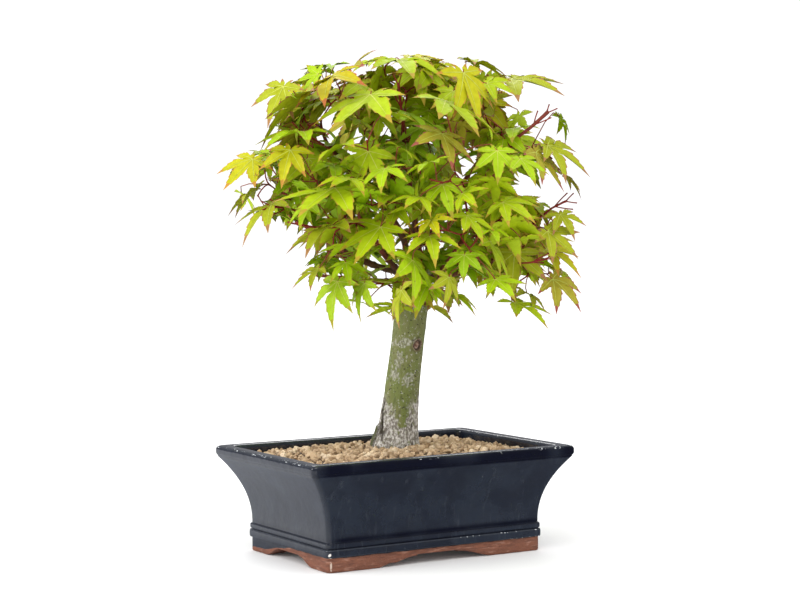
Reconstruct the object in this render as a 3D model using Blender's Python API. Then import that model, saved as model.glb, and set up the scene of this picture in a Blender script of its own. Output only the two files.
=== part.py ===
"""A bonsai Japanese maple in a glazed rectangular pot, with one solid for each piece.

The pot is a flared bowl with a thick lip, on a bare clay base with four feet, and it is filled
with clay grain.  The trunk stands a little behind the middle and leans.  Boughs leave its cut top
and its sides, and each ends where it enters a mass of foliage.  A mass keeps to a space of its
own: its twigs halve their way out from one stem to leaves with five lobes.

Everything is in metres, with +Z up.  The pot's long side lies along X.  The tree has its own
directions: across (to the right of its front), depth (away from its front) and height (above
the soil at the trunk), all measured from the foot of the trunk.
"""

import math
import random

import bmesh
import bpy
import numpy as np
from mathutils import Matrix, Vector
from mathutils.bvhtree import BVHTree
from mathutils.geometry import delaunay_2d_cdt

CM = 0.01
MM = 0.001
GAP = 0.3 * MM                    # between one piece and the next

# Pot: a bowl whose sides flare from the neck, above the base moulding, up to the lip
RIM_LENGTH, RIM_WIDTH = 20.1 * CM, 14.1 * CM
NECK_LENGTH, NECK_WIDTH = 16.3 * CM, 10.9 * CM
POT_HEIGHT = 7.15 * CM
CORNER_RADIUS = 3.5 * MM
CORNER_STEPS = 3
NECK_HEIGHT = 19.5 * MM
LIP_HEIGHT = 7.5 * MM             # from its lower edge to its top
LIP_STEP = 1.3 * MM               # how far the lip stands out of the wall under it
LIP_ROUND = 3.2 * MM
LIP_THICKNESS = 10 * MM
FLARE_POWER = 2.2                 # 1 is a straight side; more keeps it upright for longer
WALL = 8 * MM
FLOOR_TOP = 20 * MM
GLAZE_FOOT = 9.8 * MM             # the glaze stops here, above bare clay
# The base moulding from the glaze's foot up to the neck: a band, a groove and a bead, each as
# (height, how far it stands out of the wall's own line)
MOULDING = ((GLAZE_FOOT, 0.3 * MM), (10.6 * MM, 1.0 * MM), (11.6 * MM, 1.4 * MM),
            (13.8 * MM, 1.4 * MM), (14.9 * MM, 0.5 * MM), (15.4 * MM, 0.5 * MM),
            (16.2 * MM, 1.0 * MM), (17.6 * MM, 1.0 * MM), (18.6 * MM, 0.3 * MM))
WALL_RINGS = 9                    # up the outside, from the neck to the lip
INSIDE_RINGS = (0, 0.25, 0.5, 0.65, 0.78, 0.9, 1)       # up the inside, as shares of its height

# Base and feet: a bare clay slab on four feet that turn its corners
SLAB_BOTTOM = 6.8 * MM
FOOT_WALL = 13 * MM
FOOT_END = 1.2 * MM               # height left at the thin end of a foot
LONG_FLAT, LONG_REACH = 38 * MM, 66 * MM      # along the long side: on the ground, and in all
SHORT_FLAT, SHORT_REACH = 22 * MM, 40 * MM    # along the short side
FOOT_STEP = 2.2 * MM              # the cloud-shaped step part-way up the front left foot
LONG_STATIONS, SHORT_STATIONS = 9, 7          # sections along a foot's two arms

# Soil
SOIL_EDGE = 64.5 * MM             # height at the wall
SOIL_TOP = 69.0 * MM              # height at the trunk
SOIL_FLAT = 0.44                  # share of the way from the trunk to the wall that lies level
LUMP_SPACING = 7.3 * MM           # between points of the lumpy top
LUMP_HEIGHT = 1.1 * MM            # how far the lumps rise or fall
LUMP_SHIFT = 1.5 * MM             # how far each one is out of its row
TRUNK_SEAT = 17 * MM              # level grain round the middle of the trunk's foot
LOW_LUMPS = 27 * MM               # from here in to the seat, the lumps only fall

# Trunk
TREE_TURN = math.radians(-31.0)   # from the pot's long side to the tree's front
TRUNK_FOOT = Vector((11 * MM, 17 * MM, SOIL_TOP))
TRUNK_HEIGHT = 12.6 * CM
TRUNK_LEAN = 0.130                # across, for each unit of height
TRUNK_RADIUS = 12.2 * MM
TRUNK_TAPER = 1.5 * MM            # lost from foot to top
ROOT_FLARE = 3.8 * MM
FLARE_HEIGHT = 16 * MM
# Low ridges where the roots run into the trunk: (ridges round it, share of the flare, turn)
RIDGES = ((5, 0.30, 0.7), (3, 0.18, 2.0))
TRUNK_SWAY = 2 * MM               # in depth, along an S
TRUNK_SIDES = 18
TRUNK_RINGS = (0, 0.02, 0.05, 0.09, 0.15, 0.23, 0.33, 0.45, 0.58, 0.71, 0.84, 0.97, 1)
CUT_SHARE = 0.93                  # of the trunk's radius at its cut top, whose edge is rounded

# Limbs and twigs, by their radii
BOUGH_RINGS = (0, 0.03, 0.2, 0.4, 0.6, 0.8, 1)          # the first two square its foot up
BOUGH_TIP = 1.5 * MM
BOUGH_BEND = 4 * MM               # how far a bough wanders from a smooth curve
BOUGH_SHARE = 0.55                # of the way to the middle of its mass; a stem goes on from there
STEM_RADIUS = 1.3 * MM
STEM_SHARE = 0.80                 # of the way, where the stem forks
TWIG_THINNING = 0.60              # from one twig to the next that grows out of it
THINNEST_TWIG = 0.5 * MM
TWIG_TAPER = 0.88                 # from the foot of a twig to its end
STALK_ROOT, STALK_END = 0.30 * MM, 0.45 * MM
TWIG_REACH = 0.55                 # of the way towards the leaves that a twig feeds
SHOOT_REACH = 0.85                # the same for a shoot, which carries the leaves themselves
SHOOT_LEAVES = 6
ROOTING = 2.0 * MM                # how far a twig's foot is sunk in the one that carries it
STALK_LEAN = 0.6                  # how far a leaf's stalk starts behind the leaf, for its length

# Leaf: five lobes on a ring of ten points, as (angle in degrees, share of the middle lobe)
LOBES = ((0, 1.00), (24, 0.33), (48, 0.90), (75, 0.29), (102, 0.60), (180, 0.10),
         (-102, 0.60), (-75, 0.29), (-48, 0.90), (-24, 0.33))
LEAF_THICKNESS = 1.0 * MM
LEAF_CURL = 0.24                  # how far a lobe's tip hangs, as a share of its length
LEAF_LENGTHS = (31 * MM, 42 * MM)             # of the middle lobe
LEAF_HANG = (10, 60)              # degrees that the middle lobe points below level
LEAF_SWING = 110                  # degrees either side of straight out from the crown
LEAF_ROLL = 30
LEAF_SCATTER = (6 * CM, 11 * CM)  # from the middle of a mass, before it is drawn in
OUTWARD = 0.35                    # how much a leaf's distance from the crown's middle counts
CLEARANCE = 1.0 * MM              # from leaves and twigs to limbs
CELL_MARGIN = 0.4 * MM            # from leaves and twigs to the edge of their own space
CANDIDATES = 160                  # places tried for each leaf
DRAW_IN, DRAWS = 0.08, 18         # share of the way to the stem's end that one is drawn in by

# Crown: a broad dome, round in plan, that is cut away under its left side.  At each height it
# reaches so far from its axis to the left and to the right, all in centimetres.  Each mass has
# the space in it that is nearer to its own middle than to any other
CROWN_MIDDLE = (0.5 * CM, 0.0, 17.0 * CM)
CROWN_OUTLINE = ((8.0, 3.0, 6.0), (9.0, 4.4, 10.4), (10.6, 6.2, 12.4), (12.0, 8.2, 12.7),
                 (14.0, 10.4, 12.4), (17.8, 12.6, 12.6), (20.5, 10.9, 12.2),
                 (22.8, 9.6, 11.3), (24.2, 9.0, 10.6), (25.5, 7.4, 8.4), (26.4, 5.8, 6.6),
                 (26.9, 4.2, 4.8), (27.1, 1.0, 1.6))

# Masses of foliage: the middle of each as (across, depth, height) in centimetres; where its
# bough leaves the trunk (None is the cut top, otherwise a height in centimetres), the bough's
# radius there in millimetres, and the number of leaves
MASSES = {
    "crest":       ((0.6, 0.8, 23.0), None, 3.0, 24),
    "top_left":    ((-5.6, -1.6, 22.0), None, 2.4, 20),
    "top_right":   ((7.2, -1.6, 21.6), None, 2.5, 22),
    "top_back":    ((0.8, 7.2, 20.2), None, 2.4, 20),
    "left":        ((-8.8, -0.6, 16.8), 12.0, 2.3, 18),
    "front_left":  ((-3.0, -8.0, 16.4), 11.8, 2.4, 20),
    "front_right": ((5.4, -7.4, 16.0), 11.3, 2.5, 20),
    "left_low":    ((-6.4, 0.6, 11.8), 11.2, 2.0, 10),
    "right_low":   ((9.6, 0.6, 13.6), 11.5, 2.5, 22),
    "back_left":   ((-5.8, 7.6, 14.8), 11.8, 2.4, 18),
    "back_right":  ((6.8, 8.0, 14.4), 11.2, 2.5, 18),
    "front_low":   ((1.2, -4.4, 11.2), 10.2, 2.0, 10),
}


# ---------------------------------------------------------------- scene, materials, meshes

def clear_scene():
    """Remove whatever the scene holds."""
    for thing in list(bpy.data.objects):
        bpy.data.objects.remove(thing, do_unlink=True)


def material(name, colour, roughness):
    """A plain Principled material."""
    made = bpy.data.materials.new(name)
    made.use_nodes = True
    shader = made.node_tree.nodes["Principled BSDF"]
    shader.inputs["Base Color"].default_value = (*colour, 1.0)
    shader.inputs["Roughness"].default_value = roughness
    shader.inputs["Metallic"].default_value = 0.0
    return made


def frame(name, parent=None, location=(0, 0, 0), turn=0.0):
    """An empty that carries objects in its own directions."""
    made = bpy.data.objects.new(name, None)
    made.parent = parent
    made.location = location
    made.rotation_euler.z = turn
    PLANT.objects.link(made)
    return made


def add_object(name, mesh, finish, carrier):
    """Put a mesh in the plant's collection as one named sub-part, on the frame that carries it."""
    thing = bpy.data.objects.new(name, mesh)
    thing.parent = carrier
    mesh.materials.clear()
    mesh.materials.append(finish)
    mesh.shade_smooth()
    mesh.set_sharp_from_angle(angle=math.radians(35))
    PLANT.objects.link(thing)
    return thing


def loft(name, rings):
    """A closed mesh through rings of equal count, listed from the bottom up, with flat ends."""
    count = len(rings[0])
    bm = bmesh.new()
    verts = [[bm.verts.new(p) for p in ring] for ring in rings]
    for lower, upper in zip(verts, verts[1:]):
        for i in range(count):
            j = (i + 1) % count
            bm.faces.new((lower[i], lower[j], upper[j], upper[i]))
    bm.faces.new(verts[0][::-1])
    bm.faces.new(verts[-1])
    bmesh.ops.recalc_face_normals(bm, faces=bm.faces)
    mesh = bpy.data.meshes.new(name)
    bm.to_mesh(mesh)
    bm.free()
    return mesh


# ---------------------------------------------------------------- pot

def rounded_rectangle(half_x, half_y, radius, z):
    """Points round a rectangle with rounded corners, at one height."""
    points = []
    for corner, (sx, sy) in enumerate(((1, 1), (-1, 1), (-1, -1), (1, -1))):
        for step in range(CORNER_STEPS + 1):
            angle = math.radians(90 * (corner + step / CORNER_STEPS))
            points.append(Vector((sx * (half_x - radius) + radius * math.cos(angle),
                                  sy * (half_y - radius) + radius * math.sin(angle), z)))
    return points


def side(z):
    """Half length and half width of the bowl's outer side at a height, lip left out."""
    share = max(0.0, (z - NECK_HEIGHT) / (POT_HEIGHT - LIP_HEIGHT - NECK_HEIGHT))
    spread = min(share, 1.0) ** FLARE_POWER
    return ((NECK_LENGTH + (RIM_LENGTH - NECK_LENGTH) * spread) / 2,
            (NECK_WIDTH + (RIM_WIDTH - NECK_WIDTH) * spread) / 2)


def inner_side(z):
    """Half length and half width of the inside at a height."""
    return (min(side(z)[0] - WALL, RIM_LENGTH / 2 - LIP_THICKNESS),
            min(side(z)[1] - WALL, RIM_WIDTH / 2 - LIP_THICKNESS))


def inner_heights():
    """Heights of the rings up the inside, from the floor to the start of the lip's round."""
    lip_start = POT_HEIGHT - LIP_ROUND
    return [FLOOR_TOP + (lip_start - FLOOR_TOP) * share for share in INSIDE_RINGS]


def pot_body():
    """The glazed bowl: moulding, flared side, rounded lip, and the inside down to the floor."""
    rings = []

    def outside(z, out):
        half_x, half_y = side(z)
        rings.append(rounded_rectangle(half_x + out, half_y + out, CORNER_RADIUS, z))

    for z, out in MOULDING:
        outside(z, out)
    wall_top = POT_HEIGHT - LIP_HEIGHT
    for ring in range(WALL_RINGS + 1):
        share = ring / WALL_RINGS
        outside(NECK_HEIGHT + (wall_top - NECK_HEIGHT) * share, -LIP_STEP * share ** 3)
    for z_down, out in ((LIP_HEIGHT - 0.6 * MM, -0.3 * MM), (LIP_HEIGHT - 2.2 * MM, 0.0)):
        outside(POT_HEIGHT - z_down, out)
    for degrees in (0, 30, 60, 90):
        turn = math.radians(degrees)
        outside(POT_HEIGHT - LIP_ROUND * (1 - math.sin(turn)), -LIP_ROUND * (1 - math.cos(turn)))
    in_x, in_y = RIM_LENGTH / 2 - LIP_THICKNESS, RIM_WIDTH / 2 - LIP_THICKNESS
    for degrees in (90, 45, 0):
        turn = math.radians(degrees)
        out = LIP_ROUND * (1 - math.cos(turn))
        z = POT_HEIGHT - LIP_ROUND * (1 - math.sin(turn))
        rings.append(rounded_rectangle(in_x + out, in_y + out, CORNER_RADIUS, z))
    for z in reversed(inner_heights()[:-1]):
        half_x, half_y = inner_side(z)
        rings.append(rounded_rectangle(half_x, half_y, CORNER_RADIUS, z))
    return add_object("pot_body", loft("pot_body", rings), GLAZE, POT)


def pot_base():
    """The bare clay slab under the glaze."""
    rings = [rounded_rectangle(NECK_LENGTH / 2, NECK_WIDTH / 2, CORNER_RADIUS, z)
             for z in (SLAB_BOTTOM, GLAZE_FOOT - GAP)]
    return add_object("pot_base", loft("pot_base", rings), CLAY, POT)


def foot_lift(along, flat, reach, step):
    """Height of a foot's underside: flat on the ground, then an S-curve with an optional step."""
    if along <= flat:
        return 0.0
    share = (along - flat) / (reach - flat)
    top = SLAB_BOTTOM - GAP - FOOT_END
    rise = top * share * share * (3 - 2 * share)
    return max(rise, step * min(1.0, 4 * share)) if step else rise


def foot(name, sign_x, sign_y, step):
    """One foot: a low wall round a corner of the base, thinning out along both sides."""
    half_x, half_y = NECK_LENGTH / 2, NECK_WIDTH / 2
    stations = []                 # (outer point, inner point, lift) in the corner's own quarter
    for along in np.linspace(LONG_REACH, FOOT_WALL, LONG_STATIONS):
        lift = foot_lift(along, LONG_FLAT, LONG_REACH, step)
        stations.append(((half_x - along, half_y), (half_x - along, half_y - FOOT_WALL), lift))
    for turn in (90, 60, 30, 0):
        across = CORNER_RADIUS * math.cos(math.radians(turn))
        up = CORNER_RADIUS * math.sin(math.radians(turn))
        stations.append(((half_x - CORNER_RADIUS + across, half_y - CORNER_RADIUS + up),
                         (half_x - FOOT_WALL, half_y - FOOT_WALL), 0.0))
    for along in np.linspace(FOOT_WALL, SHORT_REACH, SHORT_STATIONS):
        lift = foot_lift(along, SHORT_FLAT, SHORT_REACH, 0.0)
        stations.append(((half_x, half_y - along), (half_x - FOOT_WALL, half_y - along), lift))
    top = SLAB_BOTTOM - GAP
    rings = []
    for (ox, oy), (ix, iy), lift in stations:
        rings.append([Vector((sign_x * x, sign_y * y, z))
                      for x, y, z in ((ox, oy, lift), (ix, iy, lift), (ix, iy, top), (ox, oy, top))])
    mesh = loft(name, rings)
    bm = bmesh.new()
    bm.from_mesh(mesh)
    bmesh.ops.remove_doubles(bm, verts=bm.verts, dist=0.01 * MM)
    bmesh.ops.recalc_face_normals(bm, faces=bm.faces)
    bm.to_mesh(mesh)
    bm.free()
    return add_object(name, mesh, CLAY, POT)


def soil_level(x, y, edge_x, edge_y):
    """Height of the smooth heap at a place: it rises from the wall, and is level by the trunk."""
    off_x, off_y = x - TRUNK_FOOT.x, y - TRUNK_FOOT.y
    share = max(off_x / (edge_x - TRUNK_FOOT.x), -off_x / (edge_x + TRUNK_FOOT.x),
                off_y / (edge_y - TRUNK_FOOT.y), -off_y / (edge_y + TRUNK_FOOT.y))
    rise = min((1 - share) / (1 - SOIL_FLAT), 1.0)
    return SOIL_EDGE + (SOIL_TOP - GAP - SOIL_EDGE) * rise * (2 - rise)


def lumps(edge_x, edge_y):
    """Points over the heap in staggered rows, each lifted or sunk by chance."""
    rng = random.Random("lumps")
    rows = int(2 * edge_y / LUMP_SPACING)
    columns = int(2 * edge_x / LUMP_SPACING)
    points = []
    for row in range(1, rows):
        for column in range(1, columns):
            stagger = 0.25 if row % 2 else -0.25
            x = -edge_x + 2 * edge_x * (column + stagger) / columns + rng.uniform(-1, 1) * LUMP_SHIFT
            y = -edge_y + 2 * edge_y * row / rows + rng.uniform(-1, 1) * LUMP_SHIFT
            lift = rng.uniform(-1, 1) * LUMP_HEIGHT
            off = (Vector((x, y)) - TRUNK_FOOT.xy).length
            if off < LOW_LUMPS:
                lift = -abs(lift) if off > TRUNK_SEAT else 0.0
            points.append(Vector((x, y, soil_level(x, y, edge_x, edge_y) + lift)))
    return points


def soil():
    """The clay grain: it fills the bowl, and rises in lumps from the wall to the trunk."""
    rings = []
    heights = [z for z in inner_heights() if z < SOIL_EDGE - MM] + [SOIL_EDGE]
    for z in heights:
        half_x, half_y = inner_side(z)
        level = z if z > FLOOR_TOP else FLOOR_TOP + GAP
        rings.append(rounded_rectangle(half_x - 2 * GAP, half_y - 2 * GAP, CORNER_RADIUS, level))
    mesh = loft("soil", rings)
    edge = rings[-1]
    top = edge + lumps(max(p.x for p in edge), max(p.y for p in edge))
    faces = delaunay_2d_cdt([p.xy for p in top], [], [list(range(len(edge)))], 1, 1e-7)[2]
    bm = bmesh.new()
    bm.from_mesh(mesh)
    bmesh.ops.delete(bm, geom=[max(bm.faces, key=lambda f: f.calc_center_median().z)],
                     context="FACES_ONLY")
    verts = list(bm.verts)[-len(edge):] + [bm.verts.new(p) for p in top[len(edge):]]
    for face in faces:
        bm.faces.new([verts[i] for i in face])
    bmesh.ops.recalc_face_normals(bm, faces=bm.faces)
    bm.to_mesh(mesh)
    bm.free()
    return add_object("soil", mesh, GRAIN, POT)


# ---------------------------------------------------------------- trunk and boughs

def trunk_centre(height):
    """Middle of the trunk at a height above the soil."""
    return Vector((TRUNK_LEAN * height, TRUNK_SWAY * math.sin(height / (5 * CM)), height))


def trunk_radius(height, angle=0.0):
    """Radius of the trunk: a slow taper, a flare at the foot, and ridges over the roots."""
    flare = math.exp(-height / FLARE_HEIGHT)
    ridges = sum(size * math.cos(count * angle + turn) for count, size, turn in RIDGES)
    taper = TRUNK_TAPER * height / TRUNK_HEIGHT
    return TRUNK_RADIUS - taper + ROOT_FLARE * flare * (1 + ridges)


def trunk():
    """The trunk, from a flat cut at the soil to the flat cut where its boughs fork."""
    rings = []
    for share in TRUNK_RINGS:
        height = TRUNK_HEIGHT * share
        middle = trunk_centre(height)
        cut = CUT_SHARE if share == 1 else 1.0
        ring = []
        for i in range(TRUNK_SIDES):
            angle = math.tau * i / TRUNK_SIDES
            radius = trunk_radius(height, angle) * cut
            ring.append(middle + Vector((math.cos(angle), math.sin(angle), 0)) * radius)
        rings.append(ring)
    return add_object("trunk", loft("trunk", rings), BARK, TREE)


def bezier(points, t):
    """A point on the cubic Bezier curve through four control points."""
    a, b, c, d = points
    s = 1 - t
    return a * s ** 3 + b * 3 * s * s * t + c * 3 * s * t * t + d * t ** 3


def bough_path(name):
    """Centre line of a bough, from the trunk's bark to the middle of its mass."""
    centre, leaves_at, radius, _ = MASSES[name]
    heart = Vector(centre) * CM
    if leaves_at is None:
        top = trunk_centre(TRUNK_HEIGHT)
        aim = (heart - top).to_2d()
        off = 0.0 if name == "crest" else trunk_radius(TRUNK_HEIGHT) * CUT_SHARE - radius * MM - GAP
        start = top + Vector((*aim.normalized(), 0)) * off + Vector((0, 0, GAP))
        leave = Vector((0, 0, 1))
    else:
        axis = trunk_centre(leaves_at * CM)
        leave = Vector((*(heart - axis).to_2d().normalized(), 0))
        start = axis + leave * (trunk_radius(leaves_at * CM) + TRUNK_LEAN * radius * MM + GAP)
    rise = heart - start
    length = rise.length
    rng = random.Random(name)
    bend = Vector([rng.uniform(-1, 1) for _ in range(3)]) * BOUGH_BEND
    points = (start, start + leave * length * 0.30, start + rise * 0.70 + bend, heart)
    return [bezier(points, t / 40) for t in range(41)]


def bough_end(path, name):
    """Index of the point of a path where the bough stops, inside its mass's space."""
    index = round(BOUGH_SHARE * (len(path) - 1))
    while index < len(path) - 4 and not own_space(name, [path[index]], 3 * MM):
        index += 1
    return index


def bough(name, path, radius):
    """One tapering limb along a path, as a curve with its own radius at each point."""
    curve = bpy.data.curves.new("bough_" + name, "CURVE")
    curve.dimensions = "3D"
    curve.bevel_depth = 1.0
    curve.bevel_resolution = 1
    curve.use_fill_caps = True
    spline = curve.splines.new("POLY")
    spline.points.add(len(BOUGH_RINGS) - 1)
    for point, share in zip(spline.points, BOUGH_RINGS):
        place = path[round(share * (len(path) - 1))]
        point.co = (*place, 1.0)
        point.radius = radius + (BOUGH_TIP - radius) * share ** 0.8
    guide = bpy.data.objects.new("bough_guide", curve)
    PLANT.objects.link(guide)
    bpy.context.view_layer.update()
    mesh = bpy.data.meshes.new_from_object(guide.evaluated_get(bpy.context.evaluated_depsgraph_get()))
    bpy.data.objects.remove(guide)
    bm = bmesh.new()
    bm.from_mesh(mesh)
    bmesh.ops.remove_doubles(bm, verts=bm.verts, dist=0.01 * MM)
    bm.to_mesh(mesh)
    bm.free()
    mesh.name = "bough_" + name
    return add_object("bough_" + name, mesh, BRANCH, TREE)


# ---------------------------------------------------------------- spaces of the masses

def in_crown(points):
    """Which of several sets of points lie wholly inside the crown's outline."""
    heights, left, right = np.array(CROWN_OUTLINE).T * CM
    out = points[..., :2] - CROWN_MIDDLE[:2]
    off = np.linalg.norm(out, axis=-1)
    side = 0.5 + 0.5 * out[..., 0] / np.maximum(off, MM)
    reach = (np.interp(points[..., 2], heights, left, 0, 0) * (1 - side)
             + np.interp(points[..., 2], heights, right, 0, 0) * side)
    return (off < reach).all(axis=-1)


def own_space(name, points, margin):
    """Which of several sets of points lie wholly in a mass's own space, by a margin.

    The planes half-way between two middles part their spaces, so every space is convex in them
    and no two meet.
    """
    middle = np.array(MASSES[name][0]) * CM
    inside = np.ones(len(points), dtype=bool)
    for other, (away, *_) in MASSES.items():
        if other != name:
            across = np.array(away) * CM - middle
            span = np.linalg.norm(across)
            inside &= ((points - middle) @ across / span).max(axis=-1) < span / 2 - margin
    return inside


# ---------------------------------------------------------------- leaves

def unit_leaf():
    """Points and triangles of a leaf with a middle lobe of length 1 along +X.

    A sphere of ten segments and two rings is a belt of ten points between two poles.  The belt
    is pulled out to the lobes and hangs with the square of its distance from the middle.
    """
    bm = bmesh.new()
    bmesh.ops.create_uvsphere(bm, u_segments=len(LOBES), v_segments=2, radius=1)
    belt = sorted((v for v in bm.verts if abs(v.co.z) < 0.5),
                  key=lambda v: math.atan2(v.co.y, v.co.x) % math.tau)
    start = min(range(len(belt)), key=lambda i: abs(math.atan2(belt[i].co.y, belt[i].co.x)))
    for i, (angle, reach) in enumerate(LOBES):
        turn = math.radians(angle)
        place = Vector((math.cos(turn), math.sin(turn), 0)) * reach
        place.z = -LEAF_CURL * reach * reach
        belt[(start + i) % len(belt)].co = place
    bmesh.ops.triangulate(bm, faces=bm.faces)
    bm.verts.index_update()
    points = np.array([v.co for v in bm.verts])
    faces = [[v.index for v in f.verts] for f in bm.faces]
    bm.free()
    return points, faces


def leaf_points(midrib, length, roll):
    """Points of a leaf from where its stalk joins it, with its middle lobe along midrib."""
    along = midrib.normalized()
    over = along.cross(Vector((0, 0, 1))).normalized()
    over.rotate(Matrix.Rotation(roll, 3, along))
    face = over.cross(along)
    shape = UNIT_LEAF[0] * length
    poles = np.abs(UNIT_LEAF[0][:, 2]) > 0.99
    shape[poles, 2] = np.sign(UNIT_LEAF[0][poles, 2]) * LEAF_THICKNESS / 2
    return shape @ np.array([along, -over, face])


def tree_of(points, faces):
    """A search tree over a small mesh."""
    return BVHTree.FromPolygons([Vector(p) for p in points], faces)


def near_limb(points, tree):
    """Whether a leaf comes too close to any limb."""
    middle = points.mean(axis=0)
    spread = np.linalg.norm(points - middle, axis=1).max()
    off = np.linalg.norm(LIMB_POINTS[:, :3] - middle, axis=1) - LIMB_POINTS[:, 3]
    for x, y, z, radius in LIMB_POINTS[off < spread + CLEARANCE]:
        if tree.find_nearest(Vector((x, y, z)), radius + CLEARANCE)[0] is not None:
            return True
    return False


def try_leaf(name, hub, rng):
    """One leaf at a chance place, drawn in towards the hub until it fits the mass's space."""
    middle = Vector(MASSES[name][0]) * CM
    aim = Vector([rng.gauss(0, 1) for _ in range(3)]).normalized()
    place = middle + aim * rng.uniform(*LEAF_SCATTER)
    out = (place - Vector(CROWN_MIDDLE)).to_2d().normalized()
    out.rotate(Matrix.Rotation(math.radians(rng.uniform(-LEAF_SWING, LEAF_SWING)), 2))
    hang = math.radians(rng.uniform(*LEAF_HANG))
    midrib = Vector((*(out * math.cos(hang)), -math.sin(hang)))
    length = rng.uniform(*LEAF_LENGTHS)
    roll = math.radians(rng.uniform(-LEAF_ROLL, LEAF_ROLL))
    drawn_in = (1 - DRAW_IN) ** np.arange(DRAWS)[:, None]
    places = np.array(hub) + np.array(place - hub) * drawn_in
    points = places[:, None] + leaf_points(midrib, length, roll)
    fits = own_space(name, points, CELL_MARGIN) & in_crown(points)
    first = fits.argmax()
    return (Vector(places[first]), points[first]) if fits[first] else None


def grow_leaves(name, hub, rng):
    """A mass's leaves: each takes the free place that is furthest from those already there."""
    leaves = []
    for _ in range(MASSES[name][3]):
        tried = []
        for _ in range(CANDIDATES):
            found = try_leaf(name, hub, rng)
            if found:
                apart = min(((found[0] - leaf[0]).length for leaf in leaves), default=0.0)
                outer = (found[0] - Vector(CROWN_MIDDLE)).length
                tried.append((apart + OUTWARD * outer, *found))
        for _, place, points in sorted(tried, key=lambda t: -t[0]):
            tree = tree_of(points, UNIT_LEAF[1])
            if any(tree.overlap(leaf[2]) for leaf in leaves) or near_limb(points, tree):
                continue
            leaves.append((place, points, tree))
            break
    return leaves


# ---------------------------------------------------------------- twigs and masses

def rod(start, end, radius, end_radius):
    """Mesh of a three-sided tapering rod from one point to another."""
    along = end - start
    turn = along.to_track_quat("Z", "Y").to_matrix().to_4x4()
    bm = bmesh.new()
    bmesh.ops.create_cone(bm, cap_ends=True, cap_tris=False, segments=3, radius1=radius,
                          radius2=end_radius, depth=along.length,
                          matrix=Matrix.Translation((start + end) / 2) @ turn)
    mesh = bpy.data.meshes.new("rod")
    bm.to_mesh(mesh)
    bm.free()
    return mesh


def touches_limb(start, end, radius):
    """Whether a twig comes too close to any limb."""
    a, b = np.array(start), np.array(end)
    along = b - a
    share = np.clip((LIMB_POINTS[:, :3] - a) @ along / (along @ along), 0, 1)
    nearest = a + share[:, None] * along
    off = np.linalg.norm(LIMB_POINTS[:, :3] - nearest, axis=1) - LIMB_POINTS[:, 3]
    return off.min() < radius + CLEARANCE / 2


def spread_twigs(start, leaves, radius, back, pieces):
    """Twigs that halve the leaves between them, until a shoot carries the few that are left.

    `back` is the direction of the twig that carries this one, in which its foot is sunk.
    """
    places = np.array([leaf[0] for leaf in leaves])
    reach = SHOOT_REACH if len(leaves) <= SHOOT_LEAVES else TWIG_REACH
    foot = start + back * ROOTING
    end = start.lerp(Vector(places.mean(axis=0)), reach)
    if touches_limb(foot, end, radius):
        return
    pieces.append(rod(foot, end, radius, radius * TWIG_TAPER))
    if len(leaves) <= SHOOT_LEAVES:
        pieces.extend(leaf_stalks(foot, end, leaves))
        return
    fork_twigs(end, leaves, radius, (foot - end).normalized(), pieces)


def fork_twigs(start, leaves, radius, back, pieces):
    """Two thinner twigs, one for each half of the leaves."""
    places = np.array([leaf[0] for leaf in leaves])
    widest = np.linalg.svd(places - places.mean(axis=0))[2][0]
    order = np.argsort(places @ widest)
    half = len(leaves) // 2
    for part in (order[:half], order[half:]):
        thinner = max(radius * TWIG_THINNING, THINNEST_TWIG)
        spread_twigs(start, [leaves[i] for i in part], thinner, back, pieces)


def leaf_stalks(start, end, leaves):
    """The leaves along a shoot, each with a stalk from the shoot's middle line."""
    pieces = []
    along = (end - start).normalized()
    for place, points, _ in leaves:
        level = (place - start).dot(along)
        aside = (place - start - along * level).length
        share = (level - STALK_LEAN * aside) / (end - start).length
        root = start.lerp(end, min(max(share, 0.2), 0.97))
        if not touches_limb(root, place, STALK_END):
            pieces += [rod(root, place, STALK_ROOT, STALK_END), leaf_mesh(points)]
    return pieces


def leaf_mesh(points):
    """A leaf's own closed mesh."""
    mesh = bpy.data.meshes.new("leaf")
    mesh.from_pydata([tuple(p) for p in points], [], UNIT_LEAF[1])
    mesh.update()
    return mesh


def largest_body(mesh):
    """Keep the body with the largest volume: scraps are dropped and sealed hollows filled."""
    bm = bmesh.new()
    bm.from_mesh(mesh)
    left = set(bm.verts)
    bodies = []
    while left:
        seed = left.pop()
        body, edge = {seed}, [seed]
        while edge:
            for link in edge.pop().link_edges:
                for v in link.verts:
                    if v in left:
                        left.discard(v)
                        body.add(v)
                        edge.append(v)
        bodies.append(body)
    keep = max(bodies, key=len)
    drop = [v for body in bodies if body is not keep for v in body]
    bmesh.ops.delete(bm, geom=drop, context="VERTS")
    bm.to_mesh(mesh)
    bm.free()


def fuse(name, stem, pieces):
    """One Boolean union of a stem with a collection of twigs and leaves."""
    loose = bpy.data.collections.new("loose")
    bpy.context.scene.collection.children.link(loose)
    for mesh in pieces:
        loose.objects.link(bpy.data.objects.new("loose", mesh))
    body = bpy.data.objects.new("stem", stem)
    PLANT.objects.link(body)
    union = body.modifiers.new("union", "BOOLEAN")
    union.operation = "UNION"
    union.operand_type = "COLLECTION"
    union.collection = loose
    bpy.context.view_layer.update()
    mesh = bpy.data.meshes.new_from_object(body.evaluated_get(bpy.context.evaluated_depsgraph_get()))
    for thing in [body, *loose.objects]:
        bpy.data.objects.remove(thing)
    bpy.data.collections.remove(loose)
    mesh.name = name
    return mesh


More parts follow.
